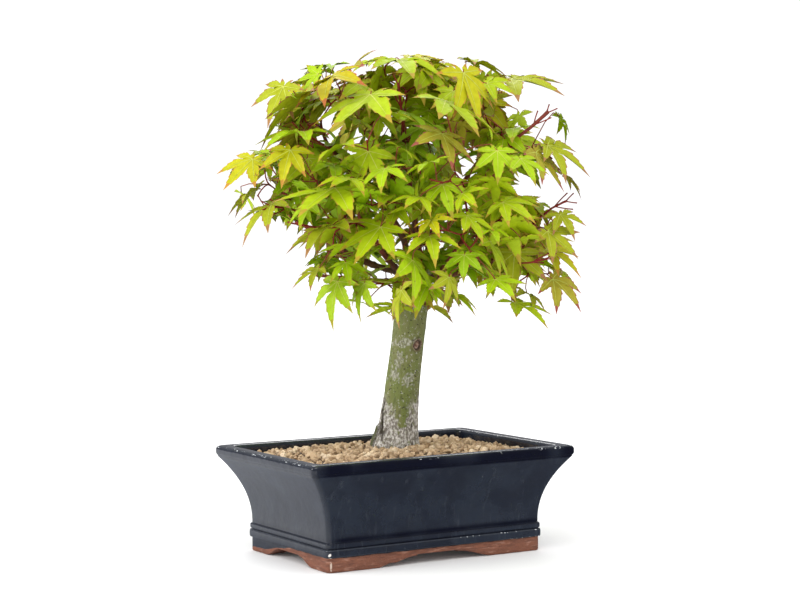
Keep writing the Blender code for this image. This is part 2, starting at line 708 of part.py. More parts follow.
def foliage(name, path, end):
    """A mass: its stem goes on from just past a bough's tip, and carries its twigs and leaves."""
    rng = random.Random("leaves of " + name)
    heading = (path[end] - path[end - 1]).normalized()
    fork = round(STEM_SHARE * (len(path) - 1))
    start, hub = path[end] + heading * GAP, path[fork]
    bend = start + heading * (hub - start).length * 0.4
    back = (start - bend).normalized()
    leaves = grow_leaves(name, hub, rng)
    pieces = [rod(bend + back * ROOTING, hub, STEM_RADIUS, STEM_RADIUS)]
    fork_twigs(hub, leaves, STEM_RADIUS, (bend - hub).normalized(), pieces)
    mesh = fuse("leaves_" + name, rod(start, bend, STEM_RADIUS * 1.15, STEM_RADIUS), pieces)
    largest_body(mesh)
    return add_object("leaves_" + name, mesh, LEAF, TREE)


def limb_points():
    """The limbs as balls along their centre lines: (x, y, z, radius) rows."""
    rows = [(*trunk_centre(TRUNK_HEIGHT * i / 60), trunk_radius(TRUNK_HEIGHT * i / 60))
            for i in range(61)]
    for name, (path, end) in BOUGHS.items():
        radius = MASSES[name][2] * MM
        for i in range(end):
            for part in (0, 0.5):
                share = (i + part) / end
                rows.append((*path[i].lerp(path[i + 1], part), radius + (BOUGH_TIP - radius) * share))
    return np.array(rows)


def stand_on_origin():
    """Move the plant so that the middle of its box is over the origin and its feet are at 0."""
    bpy.context.view_layer.update()
    corners = np.array([thing.matrix_world @ v.co for thing in PLANT.objects
                        if thing.type == "MESH" for v in thing.data.vertices])
    low, high = corners.min(axis=0), corners.max(axis=0)
    WHOLE.location = (-(low[0] + high[0]) / 2, -(low[1] + high[1]) / 2, -low[2])


clear_scene()
PLANT = bpy.data.collections.new("potted_japanese_maple")
bpy.context.scene.collection.children.link(PLANT)
WHOLE = frame("plant")
POT = frame("pot", WHOLE)
TREE = frame("tree", WHOLE, TRUNK_FOOT, TREE_TURN)
GLAZE = material("navy_glaze", (0.012, 0.017, 0.030), 0.18)
CLAY = material("bare_clay", (0.29, 0.095, 0.045), 0.85)
GRAIN = material("clay_grain", (0.48, 0.30, 0.15), 0.95)
BARK = material("green_bark", (0.17, 0.20, 0.085), 0.80)
BRANCH = material("red_branch", (0.13, 0.035, 0.025), 0.60)
LEAF = material("maple_leaf", (0.30, 0.45, 0.02), 0.50)

pot_body()
pot_base()
foot("foot_front_left", -1, -1, FOOT_STEP)
foot("foot_front_right", 1, -1, 0.0)
foot("foot_back_left", -1, 1, 0.0)
foot("foot_back_right", 1, 1, 0.0)
soil()
trunk()

UNIT_LEAF = unit_leaf()
BOUGHS = {}
for mass in MASSES:
    centre_line = bough_path(mass)
    stop = bough_end(centre_line, mass)
    BOUGHS[mass] = (centre_line, stop)
    bough(mass, centre_line[:stop + 1], MASSES[mass][2] * MM)
LIMB_POINTS = limb_points()
for mass in MASSES:
    foliage(mass, *BOUGHS[mass])
stand_on_origin()
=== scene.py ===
"""A bonsai Japanese maple in a navy glazed pot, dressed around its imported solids.

The sections follow the plant as it is put together: the bowl, its clay base and feet, the clay
grain, the trunk, the boughs, and then the twigs, stalks and leaves of each mass.  Everything is
in metres with +Z up, and the pot's long side lies along X.  The tree has its own directions,
across, depth and height, which are measured from the foot of its trunk.
"""
import math
import random

import bmesh
import bpy
import numpy as np
from mathutils import Matrix, Vector


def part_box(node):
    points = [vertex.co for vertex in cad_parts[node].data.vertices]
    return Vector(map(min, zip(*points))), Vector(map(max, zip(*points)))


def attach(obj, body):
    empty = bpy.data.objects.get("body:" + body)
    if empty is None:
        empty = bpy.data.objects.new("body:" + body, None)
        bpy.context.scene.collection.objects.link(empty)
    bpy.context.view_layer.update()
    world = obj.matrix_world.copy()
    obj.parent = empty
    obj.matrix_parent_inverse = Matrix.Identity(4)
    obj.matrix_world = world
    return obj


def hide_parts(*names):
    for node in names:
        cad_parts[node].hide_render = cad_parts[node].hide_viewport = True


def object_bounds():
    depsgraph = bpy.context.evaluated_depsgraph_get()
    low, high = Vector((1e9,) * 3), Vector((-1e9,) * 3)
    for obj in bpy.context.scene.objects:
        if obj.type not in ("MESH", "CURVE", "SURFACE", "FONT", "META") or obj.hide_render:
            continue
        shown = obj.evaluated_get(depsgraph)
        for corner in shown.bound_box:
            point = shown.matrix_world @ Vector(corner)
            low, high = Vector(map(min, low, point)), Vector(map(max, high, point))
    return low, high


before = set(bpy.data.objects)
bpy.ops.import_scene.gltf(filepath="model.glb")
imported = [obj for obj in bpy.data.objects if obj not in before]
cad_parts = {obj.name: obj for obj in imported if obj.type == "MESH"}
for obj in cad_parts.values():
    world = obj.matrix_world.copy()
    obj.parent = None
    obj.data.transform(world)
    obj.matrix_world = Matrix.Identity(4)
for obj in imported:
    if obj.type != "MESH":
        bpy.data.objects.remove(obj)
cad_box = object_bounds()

CM, MM = 0.01, 0.001


# ---------------------------------------------------------------- glazed bowl
# A slip-cast bowl with a flared side, a boxy lip and a moulded foot, fired once with a thick
# navy glaze.  The glaze thins and shows paler on every edge, and runs down in faint streaks.
# Shade and dark reflection are painted into the glaze under the lip and over the foot's moulding.

RIM_LENGTH, RIM_WIDTH = 20.1 * CM, 14.1 * CM
NECK_LENGTH, NECK_WIDTH = 16.3 * CM, 10.9 * CM
CORNER_RADIUS = 3.5 * MM
NECK_HEIGHT, WALL_TOP = 19.5 * MM, 64.0 * MM
FLARE_POWER = 2.2
WALL = 8 * MM
FLOOR_TOP = 20 * MM
GLAZE_FOOT = 9.8 * MM
# The moulded foot's band and the bead over it: middle height, half height, how far each stands out
BAND, BEAD = (12.3 * MM, 2.8 * MM, 1.4 * MM), (17.2 * MM, 1.75 * MM, 1.05 * MM)
LIP_MIDDLE, LIP_HALF_HEIGHT, LIP_HALF_WIDTH = 67.75 * MM, 3.75 * MM, 5.0 * MM
LIP_SQUARENESS = 3.2                            # 2 is an ellipse; more is boxier
LIP_UNDERCUT = 0.95 * MM
CAST_WAVE = 0.35 * MM                           # how far the cast side and lip are out of true
# Where shade and dark reflection are painted into the glaze: over the bead and between bead and
# band (height, half height), and under and on the lip, fading out over so many degrees up to an angle
COVE, GROOVE = (20.3 * MM, 1.9 * MM), (15.4 * MM, 0.5 * MM)
LIP_SHADE_END, LIP_SHADE_FADE = 62, 26
# The share of that painted shade that the lighter left end keeps, and the line, slope * distance
# out - start, by which it falls off to it
SHADE_LEFT, LEFT_SLOPE, LEFT_START = 0.35, 12, 10.6

pot_low, pot_high = (np.array(corner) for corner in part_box("pot_body"))
pot_middle = np.array([*((pot_low + pot_high) / 2)[:2], 0.0])


def smooth_noise(points, size, seed=0):
    """Noise from -1 to 1: chance values on the corners of cubes of `size`, blended inside each
    cube by t * t * (3 - 2 t) along each direction."""
    table = np.random.default_rng(seed).uniform(-1, 1, 1024)
    cell = np.asarray(points) / size
    low = np.floor(cell).astype(np.int64)
    t = cell - low
    t = t * t * (3 - 2 * t)
    total = np.zeros(cell.shape[:-1])
    for corner in np.ndindex(2, 2, 2):
        x, y, z = np.moveaxis(low + corner, -1, 0)
        value = table[(x * 73856093 ^ y * 19349663 ^ z * 83492791) & 1023]
        total += value * np.where(corner, t, 1 - t).prod(axis=-1)
    return total


def bump_at(x, width):
    """A smooth hump of height 1: exp(-(x / width)^2)."""
    return np.exp(-(x / width) ** 2)


def add_piece(name, points, faces, finishes, replaced=(), smooth_angle=None):
    """A piece from arrays of points and faces, with its finishes, riding on the root."""
    mesh = bpy.data.meshes.new(name)
    mesh.from_pydata(np.asarray(points).tolist(), [], [list(face) for face in faces])
    for finish in finishes:
        mesh.materials.append(finish)
    mesh.shade_smooth()
    if smooth_angle is not None:
        mesh.set_sharp_from_angle(angle=math.radians(smooth_angle))
    piece = bpy.data.objects.new(name, mesh)
    bpy.context.scene.collection.objects.link(piece)
    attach(piece, "root")
    if replaced:
        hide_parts(*replaced)
    return piece


def closed_rings(rings):
    """Points and faces of a closed form: rings of equal count, joined in turn by quads, and each
    end closed by a fan to the middle of its ring."""
    count, size = rings.shape[:2]
    points = np.concatenate([rings.reshape(-1, 3), rings[[0, -1]].mean(axis=1)])
    row, col = np.meshgrid(np.arange(count - 1), np.arange(size), indexing="ij")
    after = (col + 1) % size
    quads = np.stack([row * size + col, row * size + after,
                      (row + 1) * size + after, (row + 1) * size + col], -1).reshape(-1, 4)
    col = np.arange(size)
    after, last = (col + 1) % size, (count - 1) * size
    foot_fan = np.stack([after, col, np.full(size, count * size)], -1)
    top_fan = np.stack([last + col, last + after, np.full(size, count * size + 1)], -1)
    return points, [*quads.tolist(), *foot_fan.tolist(), *top_fan.tolist()]


def rounded_rectangle(half_x, half_y, radius, side_steps=46, corner_steps=8):
    """Rings round rectangles with rounded corners, one for each pair of half sizes: a point
    slides along each side, then turns through a quarter circle at the corner."""
    signs = np.array([(1, -1), (1, 1), (-1, 1), (-1, -1), (1, -1)], float)
    place, turn = [], []
    for k in range(4):
        slide = np.linspace(0, 1, side_steps, endpoint=False)[:, None]
        place += [signs[k] + (signs[k + 1] - signs[k]) * slide, np.tile(signs[k + 1], (corner_steps, 1))]
        turn += [np.full(side_steps, k), k + np.linspace(0, 1, corner_steps, endpoint=False)]
    place, turn = np.concatenate(place), np.concatenate(turn) * math.pi / 2
    half = np.stack(np.broadcast_arrays(half_x, half_y), -1)[:, None, :]
    return place * (half - radius) + radius * np.stack([np.cos(turn), np.sin(turn)], -1)


def bowl_side(z):
    """Half length and half width of the bowl's side: from neck to rim with a power of height."""
    spread = np.clip((z - NECK_HEIGHT) / (WALL_TOP - NECK_HEIGHT), 0, 1) ** FLARE_POWER
    return ((NECK_LENGTH + (RIM_LENGTH - NECK_LENGTH) * spread) / 2,
            (NECK_WIDTH + (RIM_WIDTH - NECK_WIDTH) * spread) / 2)


def bowl_profile():
    """Heights, distances out from the side's own line, how thin the glaze lies there and how much
    painted shade and dark reflection it gets, from the foot of the glaze up the outside, over the lip
    and down the inside to the floor.

    Band and bead are each out * (1 - x^4)^(1/4) about their middles, and the lip is a
    superellipse: its x and z are the cosine and sine of an angle, each to the power 2 / n."""
    foot = np.linspace(GLAZE_FOOT, NECK_HEIGHT, 34)
    out = sum(stand * np.clip(1 - ((foot - middle) / half) ** 4, 0, 1) ** 0.25
              for middle, half, stand in (BAND, BEAD))
    edge = np.clip(1 - np.abs(np.abs(foot - BAND[0]) / BAND[1] - 0.8) * 6, 0, 1)
    shade_foot = bump_at(foot - COVE[0], COVE[1]) + 0.8 * bump_at(foot - GROOVE[0], GROOVE[1])
    wall = np.linspace(NECK_HEIGHT, WALL_TOP, 40)[1:]
    under = -LIP_UNDERCUT * ((wall - NECK_HEIGHT) / (WALL_TOP - NECK_HEIGHT)) ** 3
    shade_wall = bump_at(wall - COVE[0], COVE[1]) + np.clip((wall - WALL_TOP + 1 * MM) / (1 * MM), 0, 1)
    turn = np.radians(np.linspace(-45, 180, 44))
    degrees = np.degrees(turn)
    across = np.sign(np.cos(turn)) * np.abs(np.cos(turn)) ** (2 / LIP_SQUARENESS)
    up = np.sign(np.sin(turn)) * np.abs(np.sin(turn)) ** (2 / LIP_SQUARENESS)
    lip_z, lip_out = LIP_MIDDLE + LIP_HALF_HEIGHT * up, LIP_HALF_WIDTH * (across - 1)
    lip_edge = bump_at(degrees - 45, 22) + 0.6 * bump_at(degrees - 135, 20)
    shade_lip = np.clip((LIP_SHADE_END - degrees) / LIP_SHADE_FADE, 0, 1)
    inner = np.linspace(LIP_MIDDLE - 3 * MM, FLOOR_TOP, 16)
    side = bowl_side(inner)[0]
    inner_out = np.minimum(side - WALL, RIM_LENGTH / 2 - 2 * LIP_HALF_WIDTH) - side
    z = np.concatenate([foot, wall, lip_z, inner])
    return (z, np.concatenate([out, under, lip_out, inner_out]),
            np.concatenate([edge, 0 * wall, lip_edge, 0 * inner]),
            np.concatenate([shade_foot, shade_wall, shade_lip, 0 * inner]))


def bowl():
    """The bowl's points and faces: its profile carried round the rounded rectangle, and pushed
    in or out by slow noise, as a cast and fired pot is never quite true."""
    z, out, thin, painted_shade = bowl_profile()
    half_x, half_y = bowl_side(z)
    rings = rounded_rectangle(half_x + out, half_y + out, CORNER_RADIUS)
    rings = np.concatenate([rings, np.broadcast_to(z[:, None, None], (*rings.shape[:2], 1))], -1)
    wave = smooth_noise(rings, 45 * MM, 3) - 1.0
    outward = rings[..., :2] / np.array([half_x, half_y]).T[:, None, :]
    rings[..., :2] += CAST_WAVE * 0.5 * wave[..., None] * np.clip(outward, -1, 1)
    points, faces = closed_rings(rings)
    # The painted shade is weaker at the lighter left end, and broken up by slow noise.
    left = np.clip(-outward[..., 0] * LEFT_SLOPE - LEFT_START, 0, 1) * (1 - SHADE_LEFT)
    painted_shade = painted_shade[:, None] * (1 - left) * np.clip(1 + 0.5 * smooth_noise(rings, 14 * MM, 4), 0.5, 1)
    return points + pot_middle, faces, np.repeat(thin, rings.shape[1]), painted_shade.ravel()


def shader_node(tree, kind, settings=(), **inputs):
    """A shader node.  Settings are (name, value) pairs, and each input is a value or a socket."""
    made = tree.nodes.new("ShaderNode" + kind)
    for name, value in settings:
        setattr(made, name, value)
    for name, value in inputs.items():
        socket = made.inputs[name.replace("_", " ")]
        if isinstance(value, bpy.types.NodeSocket):
            tree.links.new(value, socket)
        else:
            socket.default_value = value
    return made


def between(tree, share, first, second):
    """A colour that goes from the first to the second as the share goes from 0 to 1."""
    made = tree.nodes.new("ShaderNodeMix")
    made.data_type = "RGBA"
    for index, value in ((0, share), (6, first), (7, second)):
        if isinstance(value, bpy.types.NodeSocket):
            tree.links.new(value, made.inputs[index])
        else:
            made.inputs[index].default_value = (*value, 1.0) if index else value
    return made.outputs[2]


def step(tree, value, low, high, out_low=0.0, out_high=1.0):
    """A smooth rise from one value to another as `value` goes from low to high."""
    return shader_node(tree, "MapRange", [("interpolation_type", "SMOOTHSTEP")],
                       Value=value, From_Min=low, From_Max=high,
                       To_Min=out_low, To_Max=out_high).outputs["Result"]


def product(tree, first, second):
    """Two values multiplied."""
    made = tree.nodes.new("ShaderNodeMath")
    made.operation = "MULTIPLY"
    for index, value in enumerate((first, second)):
        if isinstance(value, bpy.types.NodeSocket):
            tree.links.new(value, made.inputs[index])
        else:
            made.inputs[index].default_value = value
    return made.outputs[0]


def shader_group(name, inputs):
    """A node group with the named inputs (name, kind, value) and one output, a mask."""
    group = bpy.data.node_groups.new(name, "ShaderNodeTree")
    for label, kind, value in inputs:
        socket = group.interface.new_socket(name=label, in_out="INPUT", socket_type="NodeSocket" + kind)
        socket.default_value = value
    group.interface.new_socket(name="Mask", in_out="OUTPUT", socket_type="NodeSocketFloat")
    return group, group.nodes.new("NodeGroupInput").outputs, group.nodes.new("NodeGroupOutput").inputs


def blotches_group():
    """Soft blotches of a given size: noise, cut off smoothly between two levels."""
    group, given, out = shader_group("Blotches", (
        ("Place", "Vector", (0, 0, 0)), ("Size", "Float", 0.01), ("Detail", "Float", 3.0),
        ("From", "Float", 0.4), ("To", "Float", 0.6)))
    scale = shader_node(group, "Math", [("operation", "DIVIDE")])
    scale.inputs[0].default_value = 1.0
    group.links.new(given["Size"], scale.inputs[1])
    noise = shader_node(group, "TexNoise", Vector=given["Place"], Scale=scale.outputs[0],
                        Detail=given["Detail"], Roughness=0.6)
    group.links.new(step(group, noise.outputs["Fac"], given["From"], given["To"]), out["Mask"])
    return group


def specks_group():
    """Round specks: a cell's middle, as far out as a share of the cell's size."""
    group, given, out = shader_group("Specks", (
        ("Place", "Vector", (0, 0, 0)), ("Spacing", "Float", 0.004), ("Share", "Float", 0.2)))
    scale = shader_node(group, "Math", [("operation", "DIVIDE")])
    scale.inputs[0].default_value = 1.0
    group.links.new(given["Spacing"], scale.inputs[1])
    cells = shader_node(group, "TexVoronoi", Vector=given["Place"], Scale=scale.outputs[0])
    edge = shader_node(group, "Math", [("operation", "MULTIPLY")])
    group.links.new(given["Share"], edge.inputs[0])
    edge.inputs[1].default_value = 0.6
    group.links.new(step(group, cells.outputs["Distance"], given["Share"], edge.outputs[0]),
                    out["Mask"])
    return group


BLOTCHES, SPECKS = blotches_group(), specks_group()


def mask(tree, group, **inputs):
    """The mask that a node group gives, placed with its own values."""
    made = tree.nodes.new("ShaderNodeGroup")
    made.node_tree = group
    for name, value in inputs.items():
        if isinstance(value, bpy.types.NodeSocket):
            tree.links.new(value, made.inputs[name])
        else:
            made.inputs[name].default_value = value
    return made.outputs["Mask"]


def new_finish(name):
    """A material's tree, its Principled shader, and its place on the piece's own coordinates."""
    made = bpy.data.materials.new(name)
    made.use_nodes = True
    tree = made.node_tree
    return made, tree, tree.nodes["Principled BSDF"], tree.nodes.new("ShaderNodeTexCoord").outputs["Object"]


def stretched(tree, place, scale):
    """The place, stretched along each direction."""
    return shader_node(tree, "Mapping", Vector=place, Scale=scale).outputs["Vector"]


def bump(tree, shader, height, distance):
    """Relief on a shader: `height` from 0 to 1 over `distance` metres."""
    made = shader_node(tree, "Bump", Height=height, Distance=distance, Strength=1.0)
    tree.links.new(made.outputs["Normal"], shader.inputs["Normal"])


def attribute(tree, name):
    """A value that the mesh carries at its points."""
    return shader_node(tree, "Attribute", [("attribute_name", name)]).outputs["Fac"]


def store(piece, name, values):
    """Store a value at each point of a piece's mesh."""
    made = piece.data.attributes.new(name, "FLOAT", "POINT")
    made.data.foreach_set("value", np.asarray(values, np.float32).ravel())


NAVY, NAVY_PALE, NAVY_THIN = (0.0085, 0.0115, 0.020), (0.014, 0.019, 0.030), (0.055, 0.062, 0.072)
NAVY_PAINTED_SHADE = (0.0022, 0.0026, 0.0085)
GLAZE_SPECK, GLAZE_GLINT = (0.45, 0.46, 0.44), (0.75, 0.78, 0.80)


def glaze_colour(tree, place):
    """Navy glaze in slow blotches, with faint pale streaks running down."""
    base = between(tree, mask(tree, BLOTCHES, Place=place, Size=0.03), NAVY, NAVY_PALE)
    streaks = mask(tree, BLOTCHES, Place=stretched(tree, place, (1, 1, 0.1)), Size=0.0035, From=0.55, To=0.8)
    return between(tree, product(tree, streaks, 0.35), base, NAVY_THIN)


CHIP_PALE = (0.72, 0.68, 0.63)
CHIP_CORNER = pot_middle + (-NECK_LENGTH / 2 + 2.0 * MM, -NECK_WIDTH / 2 + 0.3 * MM, 0)
CHIP_SIZE = 1.6 * MM
# From the corner to the middle of the chip, in the glaze and in the clay below it
GLAZE_CHIP, CLAY_CHIP = (-1 * MM, -1 * MM, 11.0 * MM), (0, 0, 4.6 * MM)


def chipped(tree, place, offset, stretch):
    """A mask round the chipped corner of the foot: near it, cut off by noise."""
    apart = shader_node(tree, "VectorMath", [("operation", "SUBTRACT")])
    tree.links.new(place, apart.inputs[0])
    apart.inputs[1].default_value = CHIP_CORNER + offset
    far = shader_node(tree, "VectorMath", [("operation", "LENGTH")])
    tree.links.new(stretched(tree, apart.outputs[0], stretch), far.inputs[0])
    ragged = mask(tree, BLOTCHES, Place=place, Size=0.0022, Detail=2.0, From=0.46, To=0.50)
    return product(tree, step(tree, far.outputs["Value"], CHIP_SIZE, CHIP_SIZE * 0.8), ragged)


def glaze_finish():
    """Thick, glossy navy glaze, paler on the edges where it is thin, with a few pale specks, painted
    shade and dark reflection where the mesh says, and painted glints along the edges.
    """
    made, tree, shader, place = new_finish("navy_glaze")
    thin, painted_shade = attribute(tree, "thin"), attribute(tree, "painted_shade")
    colour = between(tree, product(tree, thin, 0.55), glaze_colour(tree, place), NAVY_THIN)
    # Painted shade and dark reflection: the glaze goes nearly black where the mesh's value says.
    colour = between(tree, product(tree, painted_shade, 0.95), colour, NAVY_PAINTED_SHADE)
    specks = mask(tree, SPECKS, Place=place, Spacing=0.009, Share=0.03)
    colour = between(tree, product(tree, specks, 0.5), colour, GLAZE_SPECK)
    # Painted glints: small pale highlights in patches along the thin edges.
    glints = mask(tree, BLOTCHES, Place=stretched(tree, place, (0.6, 0.6, 1)), Size=0.0011, Detail=1.0,
                  From=0.63, To=0.69)
    here = mask(tree, BLOTCHES, Place=place, Size=0.030, Detail=1.0, From=0.49, To=0.60)
    glints = product(tree, step(tree, thin, 0.25, 0.8), product(tree, glints, here))
    colour = between(tree, glints, colour, GLAZE_GLINT)
    colour = between(tree, chipped(tree, place, GLAZE_CHIP, (1, 1, 0.8)), colour, CHIP_PALE)
    tree.links.new(colour, shader.inputs["Base Color"])
    dull = mask(tree, BLOTCHES, Place=place, Size=0.012, From=0.35, To=0.75)
    tree.links.new(step(tree, dull, 0, 1, 0.10, 0.24), shader.inputs["Roughness"])
    # Less shine where the shade is painted, so that those parts stay dark.
    tree.links.new(step(tree, painted_shade, 0, 1, 0.6, 0.16), shader.inputs["Specular IOR Level"])
    bump(tree, shader, mask(tree, BLOTCHES, Place=place, Size=0.007, Detail=2.0, From=0.2, To=0.8), 0.00012)
    return made


GLAZE = glaze_finish()
bowl_points, bowl_faces, bowl_thin, bowl_painted_shade = bowl()
pot = add_piece("glazed_bowl", bowl_points, bowl_faces, [GLAZE], ["pot_body"])
store(pot, "thin", [*bowl_thin, 0, 0])
store(pot, "painted_shade", [*bowl_painted_shade, 0, 0])


# ---------------------------------------------------------------- clay base and feet
# The bare red-brown clay under the glaze: a slab with a foot at each corner, cut from the same
# casting.  The feet thin out along both sides, and the glaze has run down over them in places.

SLAB_BOTTOM, FOOT_TOP = 6.5 * MM, 6.5 * MM
FOOT_WALL, FOOT_END = 13 * MM, 1.2 * MM
LONG_FLAT, LONG_REACH = 38 * MM, 66 * MM
SHORT_FLAT, SHORT_REACH = 22 * MM, 40 * MM
FOOT_ROUND = 0.9 * MM
FOOT_WAVE = 0.12 * MM                           # how far a foot's skin is out of true
# Each foot: its corner, the step half-way up its long arm, and how worn its long arm's end is
FEET = {"foot_front_left": (-1, -1, 2.2 * MM, 0.0), "foot_front_right": (1, -1, 0.0, 1.2 * MM),
        "foot_back_left": (-1, 1, 0.0, 0.0), "foot_back_right": (1, 1, 0.0, 0.0)}
CLAY_RED, CLAY_DARK, CLAY_PALE = (0.220, 0.081, 0.045), (0.12, 0.046, 0.029), (0.38, 0.20, 0.14)
CLAY_PORE, CLAY_FRESH = (0.07, 0.03, 0.02), (0.55, 0.43, 0.35)
# Patches, scuffs and lines: how flat and how large, the levels of noise at which they start and are
# full, their strength and colour
CLAY_MARKS = ((0.4, 0.006, 0.3, 0.7, 0.55, CLAY_DARK), (0.22, 0.0022, 0.52, 0.66, 0.6, CLAY_PALE),
              (0.14, 0.0016, 0.50, 0.60, 0.6, CLAY_DARK))
# The lower edge of the glaze: its height, how far it wavers, and how far the glaze has run down at
# the left back corner, over these distances from the pot's middle
GLAZE_LINE, LINE_WAVER, GLAZE_RUN = 9.0 * MM, 0.7 * MM, 6.2 * MM
RUN_LEFT, RUN_BEHIND = (-55 * MM, -78 * MM), (-10 * MM, 45 * MM)


def foot_lift(along, flat, reach, step_height, worn):
    """Height of a foot's underside: on the ground as far as `flat`, then an S-curve up to its
    thin end at `reach`, with a step on the way; a worn foot starts to rise a little sooner."""
    share = np.clip((along - flat) / (reach - flat), 0, 1)
    rise = (FOOT_TOP - FOOT_END) * share * share * (3 - 2 * share)
    return np.maximum(rise, step_height * np.clip(4 * share, 0, 1)) + worn * share * (1 - share)


def clay_foot(sign_x, sign_y, step_height, worn):
    """A foot: an L-shaped wall round the corner.  Stations run along its long arm, round the
    corner and along its short arm; at each one a section of eight points has rounded edges."""
    half_x, half_y = NECK_LENGTH / 2, NECK_WIDTH / 2
    long_count, round_count, short_count = 44, 9, 30
    along = np.linspace(LONG_REACH, FOOT_WALL, long_count)
    back = np.linspace(FOOT_WALL, SHORT_REACH, short_count)
    turn = np.radians(np.linspace(90, 0, round_count))
    outer = np.concatenate([
        np.stack([half_x - along, np.full(long_count, half_y)], -1),
        np.stack([half_x - CORNER_RADIUS + CORNER_RADIUS * np.cos(turn),
                  half_y - CORNER_RADIUS + CORNER_RADIUS * np.sin(turn)], -1),
        np.stack([np.full(short_count, half_x), half_y - back], -1)])
    inner = np.concatenate([
        np.stack([half_x - along, np.full(long_count, half_y - FOOT_WALL)], -1),
        np.tile([half_x - FOOT_WALL, half_y - FOOT_WALL], (round_count, 1)),
        np.stack([np.full(short_count, half_x - FOOT_WALL), half_y - back], -1)])
    lift = np.concatenate([foot_lift(along, LONG_FLAT, LONG_REACH, step_height, worn), np.zeros(round_count),
                           foot_lift(back, SHORT_FLAT, SHORT_REACH, 0.0, 0.0)])
    share = FOOT_ROUND / FOOT_WALL
    section = ((0, FOOT_ROUND), (share * 0.3, FOOT_ROUND * 0.3), (share, 0), (1 - share, 0),
               (1, FOOT_ROUND), (1, None), (0.5, None), (0, None))
    rings = np.empty((len(outer), len(section), 3))
    for k, (inward, above) in enumerate(section):
        rings[:, k, :2] = outer + (inner - outer) * inward
        rings[:, k, 2] = FOOT_TOP if above is None else lift + np.minimum(above, (FOOT_TOP - lift) / 2)
    rings[..., 2] += FOOT_WAVE * (smooth_noise(rings, 6 * MM, 5) + 1) * (rings[..., 2] < FOOT_TOP)
    rings *= (sign_x, sign_y, 1)
    return closed_rings(rings[::-1] if sign_x * sign_y > 0 else rings)


def clay_finish():
    """Bare red-brown clay with darker patches, pale scuffs and pores.  Above a wavering line the
    glaze covers it, and the line dips where the glaze has run at the left back corner."""
    made, tree, shader, place = new_finish("bare_clay")
    colour = CLAY_RED
    for flat, size, start, full, share, other in CLAY_MARKS:
        drawn = stretched(tree, place, (flat, flat, 1))
        marks = mask(tree, BLOTCHES, Place=drawn, Size=size, From=start, To=full)
        colour = between(tree, product(tree, marks, share), colour, other)
    pores = mask(tree, SPECKS, Place=place, Spacing=0.0016, Share=0.22)
    colour = between(tree, product(tree, pores, 0.5), colour, CLAY_PORE)
    split = shader_node(tree, "SeparateXYZ", Vector=place)
    left = step(tree, split.outputs["X"], *(float(pot_middle[0] + x) for x in RUN_LEFT))
    behind = step(tree, split.outputs["Y"], *(float(pot_middle[1] + y) for y in RUN_BEHIND))
    waver = mask(tree, BLOTCHES, Place=place, Size=0.011, From=0.25, To=0.75)
    line = shader_node(tree, "Math", [("operation", "MULTIPLY_ADD")])
    tree.links.new(product(tree, left, behind), line.inputs[0])
    line.inputs[1].default_value = -GLAZE_RUN
    line.inputs[2].default_value = GLAZE_LINE
    edge = shader_node(tree, "Math", [("operation", "MULTIPLY_ADD")])
    tree.links.new(waver, edge.inputs[0])
    edge.inputs[1].default_value = LINE_WAVER
    tree.links.new(line.outputs[0], edge.inputs[2])
    above = shader_node(tree, "Math", [("operation", "SUBTRACT")])
    tree.links.new(split.outputs["Z"], above.inputs[0])
    tree.links.new(edge.outputs[0], above.inputs[1])
    colour = between(tree, chipped(tree, place, CLAY_CHIP, (2.4, 1.6, 0.42)), colour, CLAY_FRESH)
    glazed = step(tree, above.outputs[0], -0.0001, 0.0002)
    tree.links.new(between(tree, glazed, colour, glaze_colour(tree, place)), shader.inputs["Base Color"])
    tree.links.new(step(tree, glazed, 0, 1, 0.88, 0.2), shader.inputs["Roughness"])
    bump(tree, shader, mask(tree, BLOTCHES, Place=place, Size=0.0012, From=0.2, To=0.8), 0.00025)
    return made


CLAY = clay_finish()
slab_z = np.linspace(SLAB_BOTTOM, GLAZE_FOOT - 0.3 * MM, 3)
slab = rounded_rectangle(np.full(3, NECK_LENGTH / 2), np.full(3, NECK_WIDTH / 2), CORNER_RADIUS)
slab = np.concatenate([slab, np.broadcast_to(slab_z[:, None, None], (*slab.shape[:2], 1))], -1)
slab_points, slab_faces = closed_rings(slab)
add_piece("clay_slab", slab_points + pot_middle, slab_faces, [CLAY], ["pot_base"], 40)
for name, shape in FEET.items():
    foot_points, foot_faces = clay_foot(*shape)
    add_piece("clay_" + name, foot_points + pot_middle, foot_faces, [CLAY], [name], 40)


# ---------------------------------------------------------------- clay grain
# Baked clay grain, 4 to 6 mm across, fills the bowl and is heaped a little round the trunk.  The
# grains are angular lumps in tans and browns that lie on one another.
# Shade between the grains is painted: the packed grain under them and the lower loose ones are dark.

SOIL_EDGE, SOIL_TOP = 64.5 * MM, 69.0 * MM
INNER_HALF = (RIM_LENGTH / 2 - 10 * MM, RIM_WIDTH / 2 - 10 * MM)
HEAP_SLOPE = 0.56                               # share of the way in from the wall that slopes
BED_SINK = 2.2 * MM                             # from the heap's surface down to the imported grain
FOOT_OFF = (11 * MM, 17 * MM)                   # from the pot's middle to the trunk, right and back
TRUNK_FOOT = pot_middle + (*FOOT_OFF, SOIL_TOP)
TREE_TURN = math.radians(-31.0)
GRAIN_SIZES = (2.0 * MM, 3.7 * MM)              # half across
# Layers of grain: how many, and how far over the heap's surface; then how far a grain may be off
GRAIN_LAYERS, GRAIN_LIFT = ((860, -3.2 * MM), (700, -0.7 * MM)), (-1.1 * MM, 0.7 * MM)
SPREAD = (0.7548776662, 0.5698402909)           # one over the plastic number, and over its square
SHADE_DEPTH = 3.0 * MM                          # a grain that lies so deep is dark
CLEAR_OF_TRUNK = 14.5 * MM
